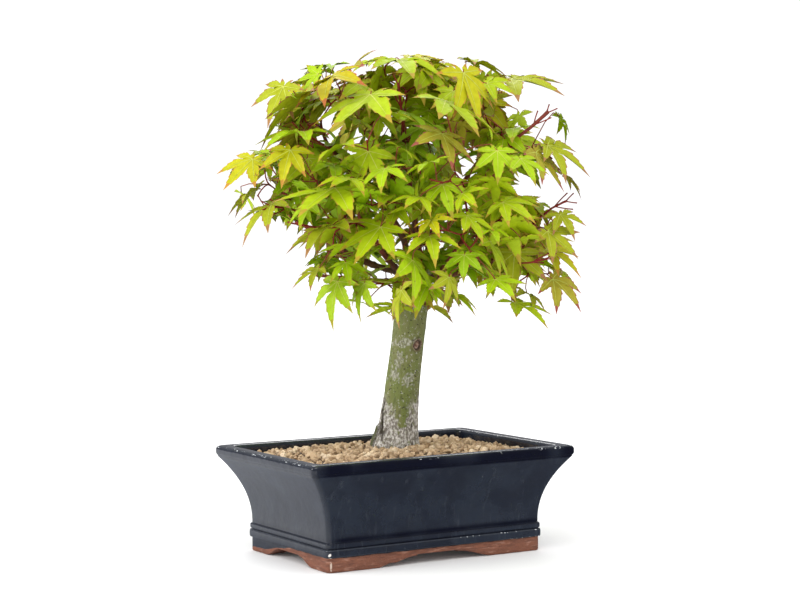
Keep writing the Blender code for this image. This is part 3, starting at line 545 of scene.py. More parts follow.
# The colour of that painted shade, on the packed grain and the lowest loose grains
GRAIN_PAINTED_SHADE = (0.070, 0.040, 0.022)
GRAIN_TAN, GRAIN_BROWN, GRAIN_PALE = (0.53, 0.378, 0.230), (0.33, 0.205, 0.108), (0.76, 0.61, 0.43)


def heap_height(x, y):
    """Height of the heap at a place in the bowl: it rises from the wall towards the trunk as
    2 t - t^2, where t is how far in from the wall the place is, as a share of the slope."""
    off = np.stack([x, y], -1) - TRUNK_FOOT[:2]
    wall = np.array(INNER_HALF) - np.sign(off) * FOOT_OFF
    t = np.clip((1 - (np.abs(off) / wall).max(axis=-1)) / HEAP_SLOPE, 0, 1)
    return SOIL_EDGE + (SOIL_TOP - SOIL_EDGE) * t * (2 - t)


def heap():
    """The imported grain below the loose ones: rings from the bowl's floor up its inside, then in
    over the heap to the trunk."""
    z = np.linspace(FLOOR_TOP + 0.3 * MM, SOIL_EDGE - 2 * MM, 6)
    half = np.stack([np.minimum(bowl_side(z)[0] - WALL, INNER_HALF[0]),
                     np.minimum(bowl_side(z)[1] - WALL, INNER_HALF[1])]) - 0.6 * MM
    rings = rounded_rectangle(*half, CORNER_RADIUS)
    rings = np.concatenate([rings, np.broadcast_to(z[:, None, None], (*rings.shape[:2], 1))], -1)
    middle = TRUNK_FOOT - pot_middle
    shares = np.linspace(1, 0.1, 24)[:, None, None]
    over = middle[:2] + (rings[-1, :, :2] - middle[:2]) * shares
    top = heap_height(over[..., 0] + pot_middle[0], over[..., 1] + pot_middle[1]) - BED_SINK
    return closed_rings(np.concatenate([rings, np.concatenate([over, top[..., None]], -1)]) + pot_middle)


def grain_shape(rng):
    """An angular lump: the convex hull of 15 chance points on a squashed ball."""
    form = bmesh.new()
    for place in rng.normal(size=(15, 3)):
        form.verts.new(place / np.linalg.norm(place) * (1, 0.9, 0.75) * rng.uniform(0.85, 1.1))
    bmesh.ops.convex_hull(form, input=form.verts)
    bmesh.ops.delete(form, geom=[v for v in form.verts if not v.link_faces], context="VERTS")
    bmesh.ops.triangulate(form, faces=form.faces)
    bmesh.ops.recalc_face_normals(form, faces=form.faces)
    form.verts.index_update()
    points = np.array([v.co for v in form.verts])
    faces = np.array([[v.index for v in f.verts] for f in form.faces])
    form.free()
    return points, faces


def chance_turns(rng, count):
    """Chance rotation matrices, from unit quaternions."""
    w, x, y, z = (rng.normal(size=(count, 4))).T
    size = np.sqrt(w * w + x * x + y * y + z * z)
    w, x, y, z = w / size, x / size, y / size, z / size
    return np.stack([np.stack([1 - 2 * (y * y + z * z), 2 * (x * y - w * z), 2 * (x * z + w * y)], -1),
                     np.stack([2 * (x * y + w * z), 1 - 2 * (x * x + z * z), 2 * (y * z - w * x)], -1),
                     np.stack([2 * (x * z - w * y), 2 * (y * z + w * x), 1 - 2 * (x * x + y * y)], -1)], -2)


def scatter_grains():
    """Loose grains over the heap: the k-th grain of a layer stands at the fractions of k times two
    fixed shares, which fill the bowl evenly, and is one of eight lumps, turned by chance."""
    rng = np.random.default_rng(11)
    shapes = [grain_shape(rng) for _ in range(8)]
    places = []
    for count, depth in GRAIN_LAYERS:
        k = np.arange(count) + rng.uniform(0, 999)
        x, y = (((k * spread) % 1 * 2 - 1) * (half - 2 * MM) + rng.normal(0, 0.5 * MM, count)
                for spread, half in zip(SPREAD, INNER_HALF))
        x, y = x + pot_middle[0], y + pot_middle[1]
        z = heap_height(x, y) + depth + rng.uniform(*GRAIN_LIFT, count)
        places.append(np.stack([x, y, z], -1))
    places = np.concatenate(places)
    places = places[np.linalg.norm(places[:, :2] - TRUNK_FOOT[:2], axis=1) > CLEAR_OF_TRUNK]
    sizes = rng.uniform(*GRAIN_SIZES, len(places)) * rng.uniform(0.75, 1.0, len(places))
    turns = chance_turns(rng, len(places))
    # The lower a grain lies, the darker it is painted, as shade between the grains.
    sunk = (heap_height(places[:, 0], places[:, 1]) - places[:, 2]) / SHADE_DEPTH
    tones_and_painted_shade = rng.uniform(0.25, 1, len(places)) * np.clip(1.2 - 0.85 * sunk, 0, 1)
    points, faces, tone_and_painted_shade, first = [], [], [], 0
    for k, (lump, sides) in enumerate(shapes):
        own = np.arange(len(places)) % len(shapes) == k
        moved = np.einsum("nij,vj->nvi", turns[own], lump) * sizes[own, None, None] + places[own, None]
        points.append(moved.reshape(-1, 3))
        faces.append((sides[None] + first + np.arange(own.sum())[:, None, None] * len(lump)).reshape(-1, 3))
        tone_and_painted_shade.append(np.repeat(tones_and_painted_shade[own], len(lump)))
        first += own.sum() * len(lump)
    return np.concatenate(points), np.concatenate(faces), np.concatenate(tone_and_painted_shade)


def grain_finish():
    """Dull baked clay: each grain has its own chance colour, darkened by painted shade the lower it
    lies, with dusty paler patches.
    """
    made, tree, shader, place = new_finish("clay_grain")
    tone_and_painted_shade = attribute(tree, "tone_and_painted_shade")
    colour = between(tree, step(tree, tone_and_painted_shade, 0.0, 0.3), GRAIN_PAINTED_SHADE, GRAIN_BROWN)
    colour = between(tree, step(tree, tone_and_painted_shade, 0.2, 0.6), colour, GRAIN_TAN)
    colour = between(tree, step(tree, tone_and_painted_shade, 0.75, 1.0), colour, GRAIN_PALE)
    dust = mask(tree, BLOTCHES, Place=place, Size=0.0025, From=0.45, To=0.7)
    colour = between(tree, product(tree, dust, 0.4), colour, GRAIN_PALE)
    dark = mask(tree, BLOTCHES, Place=place, Size=0.02, From=0.5, To=0.75)
    tree.links.new(between(tree, product(tree, dark, 0.35), colour, GRAIN_BROWN), shader.inputs["Base Color"])
    shader.inputs["Roughness"].default_value = 0.95
    bump(tree, shader, mask(tree, BLOTCHES, Place=place, Size=0.0007, From=0.2, To=0.8), 0.00018)
    return made


GRAIN = grain_finish()
heap_points, heap_faces = heap()
packed = add_piece("packed_grain", heap_points, heap_faces, [GRAIN], ["soil"])
# The packed grain takes the darkest colour, as painted shade under the loose grains.
store(packed, "tone_and_painted_shade", np.zeros(len(heap_points)))
grain_points, grain_faces, grain_tone_and_painted_shade = scatter_grains()
loose = add_piece("loose_grain", grain_points, grain_faces.tolist(), [GRAIN], (), 20)
store(loose, "tone_and_painted_shade", grain_tone_and_painted_shade)


# ---------------------------------------------------------------- trunk
# A young trunk with smooth olive bark, cut off flat where its boughs leave it.  Its foot flares
# over the roots, where the skin is pale, dry and cracked, and one side has split and lifted.

TRUNK_HEIGHT = 12.6 * CM
TRUNK_LEAN = 0.130
TRUNK_RADIUS, TRUNK_TAPER = 12.2 * MM, 1.5 * MM
ROOT_FLARE, FLARE_HEIGHT = 3.8 * MM, 16 * MM
RIDGES = ((5, 0.30, 0.7), (3, 0.18, 2.0))
TRUNK_SWAY = 2 * MM
CUT_SHARE = 0.93                                # half across the cut, as a share of the trunk's there
ROUNDED = (0.975, 0.025)                        # shares of the height: below the rounding, and in it
CUT_STEPS = (0.8, 0.6, 0.42, 0.25, 0.1)         # rings across the cut, as shares of half across it
TRUNK_SINK = 3 * MM                             # the foot goes on into the loose grain
PALE_TOP = 3.5 * CM                             # height where the pale skin of the foot ends
# Patches of pale skin higher up: height, angle round the trunk, and half height and half width
PALE_PATCHES = ((7.1 * CM, -110, 2.2 * MM, 9 * MM), (6.0 * CM, -117, 4 * MM, 2.6 * MM),
                (5.1 * CM, -122, 4 * MM, 3 * MM), (4.5 * CM, -72, 3 * MM, 3 * MM),
                (5.8 * CM, 40, 5 * MM, 6 * MM), (8.6 * CM, 140, 4 * MM, 7 * MM))
STREAK = (-86, 1.3 * CM, 4.1 * CM)              # a green tongue in the pale skin: angle, tip, root
BACK_STREAK = (95, 20)                          # and a green stripe behind: angle, half angle
# Relief of the bark: fibres, wrinkles and slow lumps, then the foot skin's own fibres and cracks
FIBRES, WRINKLES, LUMPS = 0.10 * MM, 0.06 * MM, 0.5 * MM
SKIN_FIBRES, SKIN_CRACKS = 0.16 * MM, 0.45 * MM
# Pruning scars: height, angle round the trunk in degrees (-90 is the front), and half across
SCARS = ((6.9 * CM, -56, 3.6 * MM), (3.6 * CM, 60, 2.6 * MM), (9.4 * CM, 150, 3.0 * MM))
SPLIT = (-147, 20 * MM, 13 * MM, 2.6 * MM)      # angle, middle height, half height, depth
PLATE = (-167, 13, 15 * MM, 1.5 * MM)           # a mossy plate of old bark: angle, half angle, height, lift


def tree_to_world(points):
    """Places in the tree's own directions, turned and set on the foot of the trunk."""
    cos, sin = math.cos(TREE_TURN), math.sin(TREE_TURN)
    x, y, z = np.moveaxis(np.asarray(points), -1, 0)
    return np.stack([x * cos - y * sin, x * sin + y * cos, z], -1) + TRUNK_FOOT


def trunk_centre(height):
    """Middle of the trunk at a height above the soil: it leans, and sways along an S in depth."""
    height = np.asarray(height, float)
    return np.stack([TRUNK_LEAN * height, TRUNK_SWAY * np.sin(height / (5 * CM)), height], -1)


def trunk_radius(height, angle=0.0):
    """Radius of the trunk: a slow taper, a flare that dies away upwards, and root ridges."""
    ridges = sum(size * np.cos(count * angle + turn) for count, size, turn in RIDGES)
    flare = ROOT_FLARE * np.exp(-np.maximum(height, 0) / FLARE_HEIGHT) * (1 + ridges)
    return TRUNK_RADIUS - TRUNK_TAPER * height / TRUNK_HEIGHT + flare


def round_from(turn, angle):
    """Degrees round the trunk from an angle, between -180 and 180."""
    return (np.degrees(turn) - angle + 180) % 360 - 180


def pale_skin(height, turn, place):
    """Where the foot's pale skin is, and how pale the bark is.  The skin ends at a wavering height
    as 1 / (1 + e^x), green tongues cut into it, and ragged patches of it stand higher up."""
    skin = 1 / (1 + np.exp((height - PALE_TOP - 8 * MM * smooth_noise(place, 8 * MM, 21)
                            - 5 * MM * smooth_noise(place, 2.5 * MM, 33)) / (4 * MM)))
    tongue = np.clip((height - STREAK[1]) / (STREAK[2] - STREAK[1]), 0, 1)
    waver = 9 * smooth_noise(place, 3 * MM, 34) + 5 * np.sin(height / (7 * MM))
    streak = bump_at(round_from(turn, STREAK[0]) - waver, 8 + 42 * tongue) * (tongue > 0)
    stripe = bump_at(round_from(turn, BACK_STREAK[0]), BACK_STREAK[1])
    streak = np.maximum(streak, 0.8 * stripe * (smooth_noise(place, 5 * MM, 22) > -0.4))
    pale = skin * (1 - np.clip(streak * 1.3, 0, 1))
    for middle, angle, half_height, half_width in PALE_PATCHES:
        off = np.hypot((height - middle) / half_height,
                       np.radians(round_from(turn, angle)) * TRUNK_RADIUS / half_width)
        patch = 0.78 - 0.42 * off + 0.55 * smooth_noise(place, 1.5 * MM, 32)
        pale = np.maximum(pale, np.clip(patch, 0, 0.46))
    return skin, pale


def press_scars(relief, height, turn, place):
    """Adds the scars to the relief, and gives where they are and where their dark rings are, on
    either side of each collar, partly the scar's own colour and partly painted shade.  With the
    distance from a scar's middle as a share of its size, a hump on its middle, a hollow and a
    collar follow one another outwards, and noise makes them ragged."""
    scar, ring = np.zeros_like(height), np.zeros_like(height)
    for middle, angle, half in SCARS:
        off = np.hypot(np.radians(round_from(turn, angle)) * TRUNK_RADIUS, (height - middle) * 0.9) / half
        off = off * (1 + 0.16 * smooth_noise(place, 2.2 * MM, 29))
        collar, hollow, hump = bump_at(off - 1.05, 0.28), bump_at(off - 0.55, 0.3), bump_at(off, 0.3)
        relief += MM * (1.1 * collar - 0.7 * hollow + 0.5 * hump)
        scar = np.maximum(scar, 1 / (1 + np.exp((off - 1.0) * 12)))
        ring = np.maximum(ring, bump_at(off - 0.72, 0.17) + 0.55 * bump_at(off - 1.28, 0.12))
    return scar, ring


def press_split(relief, height, turn, place):
    """Adds the split, with the lip that has rolled up beside it, and the plate of old bark to the
    relief, and gives where the split, the plate and the groove at the plate's edge are; the split and
    the groove are darkened as painted shade."""
    angle, middle, half, depth = SPLIT
    across = round_from(turn, angle) + 7 * np.sin((height - middle) / (6 * MM))
    across = np.radians(across) * TRUNK_RADIUS
    open_here = np.clip(1 - ((height - middle) / half) ** 2, 0, 1)
    gap = bump_at(across, 1.0 * MM) * open_here ** 0.5
    relief += -depth * gap + 0.9 * MM * bump_at(across - 2.6 * MM, 1.5 * MM) * open_here
    angle, half, top, lift = PLATE
    ragged = top - height + 2 * MM * smooth_noise(place, 3 * MM, 30)
    plate = np.clip(1.5 - np.abs(round_from(turn, angle) / half) ** 3, 0, 1)
    plate = plate * np.clip(ragged / (2 * MM), 0, 1)
    relief += plate * (lift + 0.4 * MM * smooth_noise(place * (1, 1, 0.4), 1.8 * MM, 31))
    edge = bump_at(round_from(turn, angle + half + 3), 2.4) * (height < top)
    relief -= 1.6 * MM * edge
    return gap, plate, edge


def trunk_surface():
    """The trunk's rings and the values its bark reads.

    The surface is the trunk's radius at each angle and height, plus fibres (noise drawn out along
    the trunk), fine wrinkles (noise drawn out round it), the scars and the split.  The last rings
    round over to the cut and turn in across it."""
    rows, columns = 300, 176
    rise = np.linspace(-TRUNK_SINK, ROUNDED[0] * TRUNK_HEIGHT, rows)
    cap = np.sin(np.linspace(0, math.pi / 2, 9)[1:])
    height = np.concatenate([rise, TRUNK_HEIGHT * (ROUNDED[0] + ROUNDED[1] * cap),
                             np.full(len(CUT_STEPS), TRUNK_HEIGHT)])
    shrink = np.concatenate([np.ones(rows), 1 - (1 - CUT_SHARE) * (1 - np.sqrt(1 - (0.999 * cap) ** 2)),
                             CUT_SHARE * np.array(CUT_STEPS)])
    turn = np.linspace(0, math.tau, columns, endpoint=False)
    height, turn = np.meshgrid(height, turn, indexing="ij")
    radius = trunk_radius(height, turn)
    place = np.stack([np.cos(turn) * radius, np.sin(turn) * radius, height], -1)
    skin, pale = pale_skin(height, turn, place)
    fibres = smooth_noise(place * (1, 1, 0.22), 1.6 * MM, 23)
    fibres = fibres + 0.6 * smooth_noise(place * (1, 1, 0.3), 0.8 * MM, 24)
    wrinkles = smooth_noise(place * (0.3, 0.3, 1), 0.9 * MM, 25)
    cracks = np.clip(smooth_noise(place * (1, 1, 0.5), 2.4 * MM, 26) * 3 - 1.2, 0, 1)
    relief = FIBRES * fibres + WRINKLES * wrinkles + skin * (SKIN_FIBRES * fibres - SKIN_CRACKS * cracks)
    relief += LUMPS * smooth_noise(place * (1, 1, 0.4), 9 * MM, 27)
    scar, ring = press_scars(relief, height, turn, place)
    gap, plate, edge = press_split(relief, height, turn, place)
    cut = (height > 0.998 * TRUNK_HEIGHT).astype(float)
    radius = (radius + relief * (1 - cut)) * shrink[:, None]
    off_centre = np.stack([np.cos(turn) * radius, np.sin(turn) * radius, 0 * height], -1)
    rings = trunk_centre(height) + off_centre
    rings[..., 2] += cut * 0.5 * MM * (smooth_noise(rings, 1.6 * MM, 28) - 1)
    # 'dark' is painted shade in the split, the plate's groove and round the scars, cracks darker by their own
    # colour and painted shade, and a darker cut top.
    values = {"pale": pale * (1 - plate), "scar": scar, "moss": plate,
              "dark": np.clip(gap * 2.2 + edge + ring + skin * cracks * 0.9 + cut, 0, 1)}
    return rings, values


BARK_GREEN, BARK_OLIVE, BARK_SHADE = (0.155, 0.185, 0.042), (0.182, 0.188, 0.062), (0.092, 0.104, 0.032)
BARK_PALE, BARK_GREY = (0.63, 0.60, 0.56), (0.19, 0.165, 0.135)
BARK_SCAR, BARK_PINK, BARK_DARK = (0.17, 0.085, 0.055), (0.42, 0.27, 0.21), (0.040, 0.030, 0.018)
BARK_MOSS = (0.075, 0.085, 0.040)


def bark_finish():
    """Green bark in clouds of olive, with dark pores and cream flecks.  The pale skin of the
    foot is cracked into small grey-edged scales.  Skin, scars, moss and a darkening, mostly painted
    shade in the split, the plate's groove, round the scars and in the cracks, come from the mesh's
    own values."""
    made, tree, shader, place = new_finish("green_bark")
    drawn = stretched(tree, place, (1, 1, 0.35))
    clouds = mask(tree, BLOTCHES, Place=drawn, Size=0.008, From=0.38, To=0.62)
    colour = between(tree, clouds, BARK_GREEN, BARK_OLIVE)
    shades = mask(tree, BLOTCHES, Place=drawn, Size=0.0022, From=0.48, To=0.70)
    colour = between(tree, product(tree, shades, 0.55), colour, BARK_SHADE)
    flecks = mask(tree, BLOTCHES, Place=stretched(tree, place, (1, 1, 0.7)), Size=0.0017, Detail=3.0,
                  From=0.58, To=0.67)
    colour = between(tree, product(tree, flecks, 0.45), colour, BARK_PALE)
    pores = mask(tree, SPECKS, Place=stretched(tree, place, (0.8, 0.8, 1.3)), Spacing=0.0023, Share=0.27)
    some = mask(tree, BLOTCHES, Place=place, Size=0.004, From=0.38, To=0.54)
    colour = between(tree, product(tree, pores, some), colour, BARK_DARK)
    scales = mask(tree, BLOTCHES, Place=stretched(tree, place, (1, 1, 0.6)), Size=0.0014, Detail=4.0,
                  From=0.42, To=0.62)
    skin = between(tree, scales, BARK_GREY, BARK_PALE)
    worn = mask(tree, BLOTCHES, Place=place, Size=0.0034, Detail=5.0, From=0.30, To=0.46)
    colour = between(tree, product(tree, step(tree, attribute(tree, "pale"), 0.15, 0.75), worn), colour, skin)
    callus = mask(tree, BLOTCHES, Place=place, Size=0.0018, From=0.42, To=0.6)
    callus = between(tree, callus, BARK_SCAR, BARK_PINK)
    colour = between(tree, attribute(tree, "scar"), colour, callus)
    colour = between(tree, product(tree, attribute(tree, "moss"), 0.9), colour, BARK_MOSS)
    # Painted shade in the split, the plate's groove, round the scars and in the cracks, and a darker cut top
    colour = between(tree, attribute(tree, "dark"), colour, BARK_DARK)
    tree.links.new(colour, shader.inputs["Base Color"])
    shader.inputs["Roughness"].default_value = 0.78
    drawn = stretched(tree, place, (1, 1, 0.4))
    wrinkles = mask(tree, BLOTCHES, Place=drawn, Size=0.0009, Detail=4.0, From=0.2, To=0.8)
    bump(tree, shader, wrinkles, 0.00035)
    return made


BARK = bark_finish()
trunk_rings, trunk_values = trunk_surface()
trunk_points, trunk_faces = closed_rings(trunk_rings)
trunk = add_piece("trunk_bark", tree_to_world(trunk_points), trunk_faces, [BARK], ["trunk"])
for name, values in trunk_values.items():
    store(trunk, name, [*values.ravel(), values[0].mean(), values[-1].mean()])


# ---------------------------------------------------------------- boughs
# Twelve boughs: four stand on the cut top of the trunk, and eight leave its sides from a collar.
# Their bark is brown where it is old and dark red towards the tips, with a swelling at each node.

BOUGH_TIP = 1.5 * MM
BOUGH_BEND = 4 * MM
BOUGH_SHARE = 0.55                              # a bough ends here on the way to its mass's middle
STEM_SHARE = 0.80                               # and the stem that goes on from it ends here
STEM_RADIUS = 1.3 * MM
GAP = 0.3 * MM
BOUGH_SINK = 2.5 * MM                           # from a bough's foot on into the trunk
NODE_SPACING, NODE_SWELL, NODE_HALF = 11 * MM, 0.22, 1.1 * MM
COLLAR, COLLAR_REACH = 1.4 * MM, 2.5 * MM       # how far it stands out, and how soon it dies away
BOUGH_RIDGE = 0.14 * MM
# Masses of foliage: the middle of each as (across, depth, height) in centimetres; where its bough
# leaves the trunk (None is the cut top, otherwise a height in centimetres), the bough's radius
# there in millimetres, and the number of sprays
MASSES = {
    "crest":       ((0.6, 0.8, 23.0), None, 3.0, 46),
    "top_left":    ((-5.6, -1.6, 22.0), None, 2.4, 31),
    "top_right":   ((7.2, -1.6, 21.6), None, 2.5, 29),
    "top_back":    ((0.8, 7.2, 20.2), None, 2.4, 33),
    "left":        ((-8.8, -0.6, 16.8), 12.0, 2.3, 18),
    "front_left":  ((-3.0, -8.0, 16.4), 11.8, 2.4, 29),
    "front_right": ((5.4, -7.4, 16.0), 11.3, 2.5, 25),
    "left_low":    ((-6.4, 0.6, 11.8), 11.2, 2.0, 10),
    "right_low":   ((9.6, 0.6, 13.6), 11.5, 2.5, 22),
    "back_left":   ((-5.8, 7.6, 14.8), 11.8, 2.4, 24),
    "back_right":  ((6.8, 8.0, 14.4), 11.2, 2.5, 24),
    "front_low":   ((1.2, -4.4, 11.2), 10.2, 2.0, 17),
}
MIDDLES = {name: np.array(shape[0]) * CM for name, shape in MASSES.items()}


def own_space(name, points, margin):
    """Which of several sets of points lie wholly in a mass's own space, by a margin: the planes
    half-way between two middles part their spaces."""
    inside = np.ones(points.shape[:-2], dtype=bool)
    for other, away in MIDDLES.items():
        if other != name:
            across = away - MIDDLES[name]
            span = np.linalg.norm(across)
            inside &= ((points - MIDDLES[name]) @ across / span).max(axis=-1) < span / 2 - margin
    return inside


def bough_path(name):
    """Centre line of a bough, from the trunk's bark to the middle of its mass: a cubic Bezier
    curve that sets out square to the bark and wanders a little."""
    heart, leaves_at, radius = MIDDLES[name], MASSES[name][1], MASSES[name][2] * MM
    if leaves_at is None:
        top = trunk_centre(TRUNK_HEIGHT)
        aim = (heart - top)[:2] / np.linalg.norm((heart - top)[:2])
        off = 0.0 if name == "crest" else trunk_radius(TRUNK_HEIGHT) * CUT_SHARE - radius - GAP
        start, leave = top + (*(aim * off), GAP), np.array([0, 0, 1.0])
    else:
        axis = trunk_centre(leaves_at * CM)
        leave = np.array([*(heart - axis)[:2], 0]) / np.linalg.norm((heart - axis)[:2])
        start = axis + leave * (trunk_radius(leaves_at * CM) + TRUNK_LEAN * radius + GAP)
    rng = random.Random(name)
    bend = np.array([rng.uniform(-1, 1) for _ in range(3)]) * BOUGH_BEND
    rise = heart - start
    out, near = start + leave * np.linalg.norm(rise) * 0.30, start + rise * 0.70 + bend
    t = np.linspace(0, 1, 41)[:, None]
    return start * (1 - t) ** 3 + out * 3 * (1 - t) ** 2 * t + near * 3 * (1 - t) * t * t + heart * t ** 3


def bough_end(path, name):
    """Index of the point of a path where the bough stops, inside its mass's space."""
    index = round(BOUGH_SHARE * (len(path) - 1))
    while index < len(path) - 4 and not own_space(name, path[None, [index]], 3 * MM)[0]:
        index += 1
    return index


def square_to(along):
    """Two directions square to each of several and to one another."""
    away = np.where(np.abs(along[..., 2:]) < 0.9, np.array([0, 0, 1.0]), np.array([1.0, 0, 0]))
    first = np.cross(along, away)
    first /= np.linalg.norm(first, axis=-1, keepdims=True)
    return first, np.cross(along, first)


def tube_rings(paths, radii, sides):
    """Rings round several paths at once: (paths, rings, sides, 3) from (paths, rings, 3) and
    (paths, rings).  Each path's rings share two directions, square to it as a whole."""
    first, second = square_to((paths[:, -1:] - paths[:, :1])
                              / np.linalg.norm(paths[:, -1:] - paths[:, :1], axis=-1, keepdims=True))
    along = np.gradient(paths, axis=1)
    along /= np.linalg.norm(along, axis=-1, keepdims=True)
    first = first - along * (first * along).sum(-1, keepdims=True)
    first /= np.linalg.norm(first, axis=-1, keepdims=True)
    second = np.cross(along, first)
    turn = np.linspace(0, math.tau, sides, endpoint=False)
    round_it = (first[:, :, None] * np.cos(turn)[:, None] + second[:, :, None] * np.sin(turn)[:, None])
    return paths[:, :, None] + round_it * radii[:, :, None, None]


def resample(path, count):
    """A path through `count` points, evenly spaced along it."""
    far = np.concatenate([[0], np.cumsum(np.linalg.norm(np.diff(path, axis=0), axis=1))])
    share = np.linspace(0, far[-1], count)
    return np.stack([np.interp(share, far, path[:, k]) for k in range(3)], -1), far[-1]


def bough_shape(name, path, end):
    """One bough as a closed tube: its radius tapers as share^0.8, swells at nodes, flares into a
    collar where it leaves the trunk, and carries low ridges of bark."""
    stations, sides = 90, 16
    radius = MASSES[name][2] * MM
    heading = path[0] - path[1]
    inner = path[0] + heading / np.linalg.norm(heading) * BOUGH_SINK
    line, length = resample(np.concatenate([inner[None], path[:end + 2]]), stations)
    share = np.linspace(0, 1, stations)
    along = share * length
    radii = radius + (BOUGH_TIP - radius) * share ** 0.8
    from_node = (along + NODE_SPACING / 2) % NODE_SPACING - NODE_SPACING / 2
    radii = radii * (1 + NODE_SWELL * bump_at(from_node, NODE_HALF))
    if MASSES[name][1] is not None:
        radii = radii + COLLAR * np.exp(-along / COLLAR_REACH)
    rings = tube_rings(line[None], radii[None], sides)[0]
    ridges = smooth_noise(rings, 1.5 * MM, 31)[..., None]
    rings += BOUGH_RIDGE * ridges * (rings - line[:, None]) / radii[:, None, None]
    return *closed_rings(rings), np.repeat(share, sides)


def join(parts):
    """Points and faces of several closed forms as one."""
    points, faces, first = [], [], 0
    for own, sides in parts:
        points.append(own)
        faces += [[k + first for k in side] for side in sides]
        first += len(own)
    return np.concatenate(points), faces


WOOD_BROWN, WOOD_RED, WOOD_DARK = (0.105, 0.068, 0.036), (0.25, 0.026, 0.018), (0.035, 0.026, 0.016)


def branch_finish():
    """Smooth thin bark: brown with grey flecks where it is old, dark red where it is young."""
    made, tree, shader, place = new_finish("red_branch")
    colour = between(tree, attribute(tree, "young"), WOOD_BROWN, WOOD_RED)
    clouds = mask(tree, BLOTCHES, Place=place, Size=0.003, From=0.5, To=0.75)
    colour = between(tree, product(tree, clouds, 0.55), colour, WOOD_DARK)
    tree.links.new(colour, shader.inputs["Base Color"])
    shader.inputs["Roughness"].default_value = 0.6
    shader.inputs["Specular IOR Level"].default_value = 0.2
    bump(tree, shader, mask(tree, BLOTCHES, Place=place, Size=0.0008, From=0.2, To=0.8), 0.00012)
    return made


BRANCH = branch_finish()
bough_lines = {name: bough_path(name) for name in MASSES}
bough_ends = {name: bough_end(path, name) for name, path in bough_lines.items()}
bough_parts = [bough_shape(name, bough_lines[name], bough_ends[name]) for name in MASSES]
bough_points, bough_faces = join([part[:2] for part in bough_parts])
boughs = add_piece("boughs", tree_to_world(bough_points), bough_faces, [BRANCH],
                   ["bough_" + name for name in MASSES])
store(boughs, "young", np.concatenate([[*part[2] * 0.8, 0.0, 0.8] for part in bough_parts]))


# ---------------------------------------------------------------- twigs, stalks and leaves
# Each mass grows on from its bough: a stem forks, and its twigs halve their way out to shoots
# of a few leaves on red stalks.  A leaf has seven toothed lobes with long hanging points.

CROWN_MIDDLE = np.array([0.5 * CM, 0.0, 17.0 * CM])
# How far the crown reaches from its axis at each height, to the left and right, in centimetres
CROWN_OUTLINE = ((8.0, 3.0, 6.0), (9.0, 4.4, 10.4), (10.6, 6.2, 12.4), (12.0, 8.2, 12.7),
                 (14.0, 10.4, 12.4), (17.8, 12.6, 12.6), (20.5, 10.9, 12.2),
                 (22.8, 9.6, 11.3), (24.2, 9.0, 10.6), (25.5, 7.4, 8.4), (26.4, 5.8, 6.6),
                 (26.9, 4.2, 4.8), (27.1, 1.0, 1.6))
# Lobes of a leaf of length 1: angle in degrees, length, and half width
LOBES = ((-138, 0.27, 0.055), (-92, 0.62, 0.10), (-46, 0.90, 0.14), (0, 1.00, 0.155),
         (46, 0.90, 0.14), (92, 0.62, 0.10), (138, 0.27, 0.055))
SINUS = 0.245                                   # how far out two lobes part
# Half a lobe's edge: how far along, share of its half width, and where its vein leaves the midrib
EDGE = ((0.36, 0.93, 0.20), (0.50, 1.12, 0), (0.52, 0.90, 0.38), (0.66, 0.86, 0), (0.68, 0.64, 0.57),
        (0.80, 0.52, 0), (0.82, 0.34, 0.76))
VEIN_RAISED = 0.006                             # how far the veins stand off a leaf of length 1
LEAF_DROOP = 0.24                               # how far its tip hangs, for the test of what fits
LEAF_LENGTHS = (20 * MM, 40 * MM)
# A lobe's turn in its leaf, in degrees; a leaf's own droop, and how far a lobe's is off it; and how
# steeply its halves fold up
LOBE_SWING, DROOPS, DROOP_SCATTER, FOLDS = 4, (0.06, 0.34), 0.08, (0.15, 0.6)
# How far a blade hangs, turns off its stalk's way and rolls, in degrees
LEAF_HANG, LEAF_SWING, LEAF_ROLL = (4, 62), 26, 26
# Turn of each leaf of a spray off the way out of the crown, and how far a turn may be off
SPRAY_TURNS, TURN_SCATTER = (-118, -42, 36, 112), 24
SPRAY_SCATTER = (2 * CM, 8.5 * CM)              # from the mass's middle to a spray's
STALK_REACH, STALK_RISE = (11 * MM, 25 * MM), (-12, 42)
SPRAY_FULL = 3                                  # leaves that a place must hold to be as good as any
OUTLINE_SHARE = (0.80, 1.0)                     # how much of the crown's outline a spray may fill
BOX_MARGIN = 1.5 * MM                           # from a leaf's points to the box of the solids
OUTWARD = 0.12                                  # how much a place gains for each metre further out
FAR_AWAY = (9.0, 9.0, 9.0)                      # stands for the leaves there while there are none
# Sprays tried for each that grows, share of the way to the hub that a draw takes off, and draws
CANDIDATES, DRAW_IN, DRAWS = 40, 0.09, 16
SPACE_OVERLAP = 8 * MM                          # leaves of two masses may cross so far
LIMB_CLEAR = 0.8 * MM                           # leaves keep so far off the limbs
TESTED_AT = (0.35, 0.7, 1.0)                    # how far out along its lobes a leaf is tested
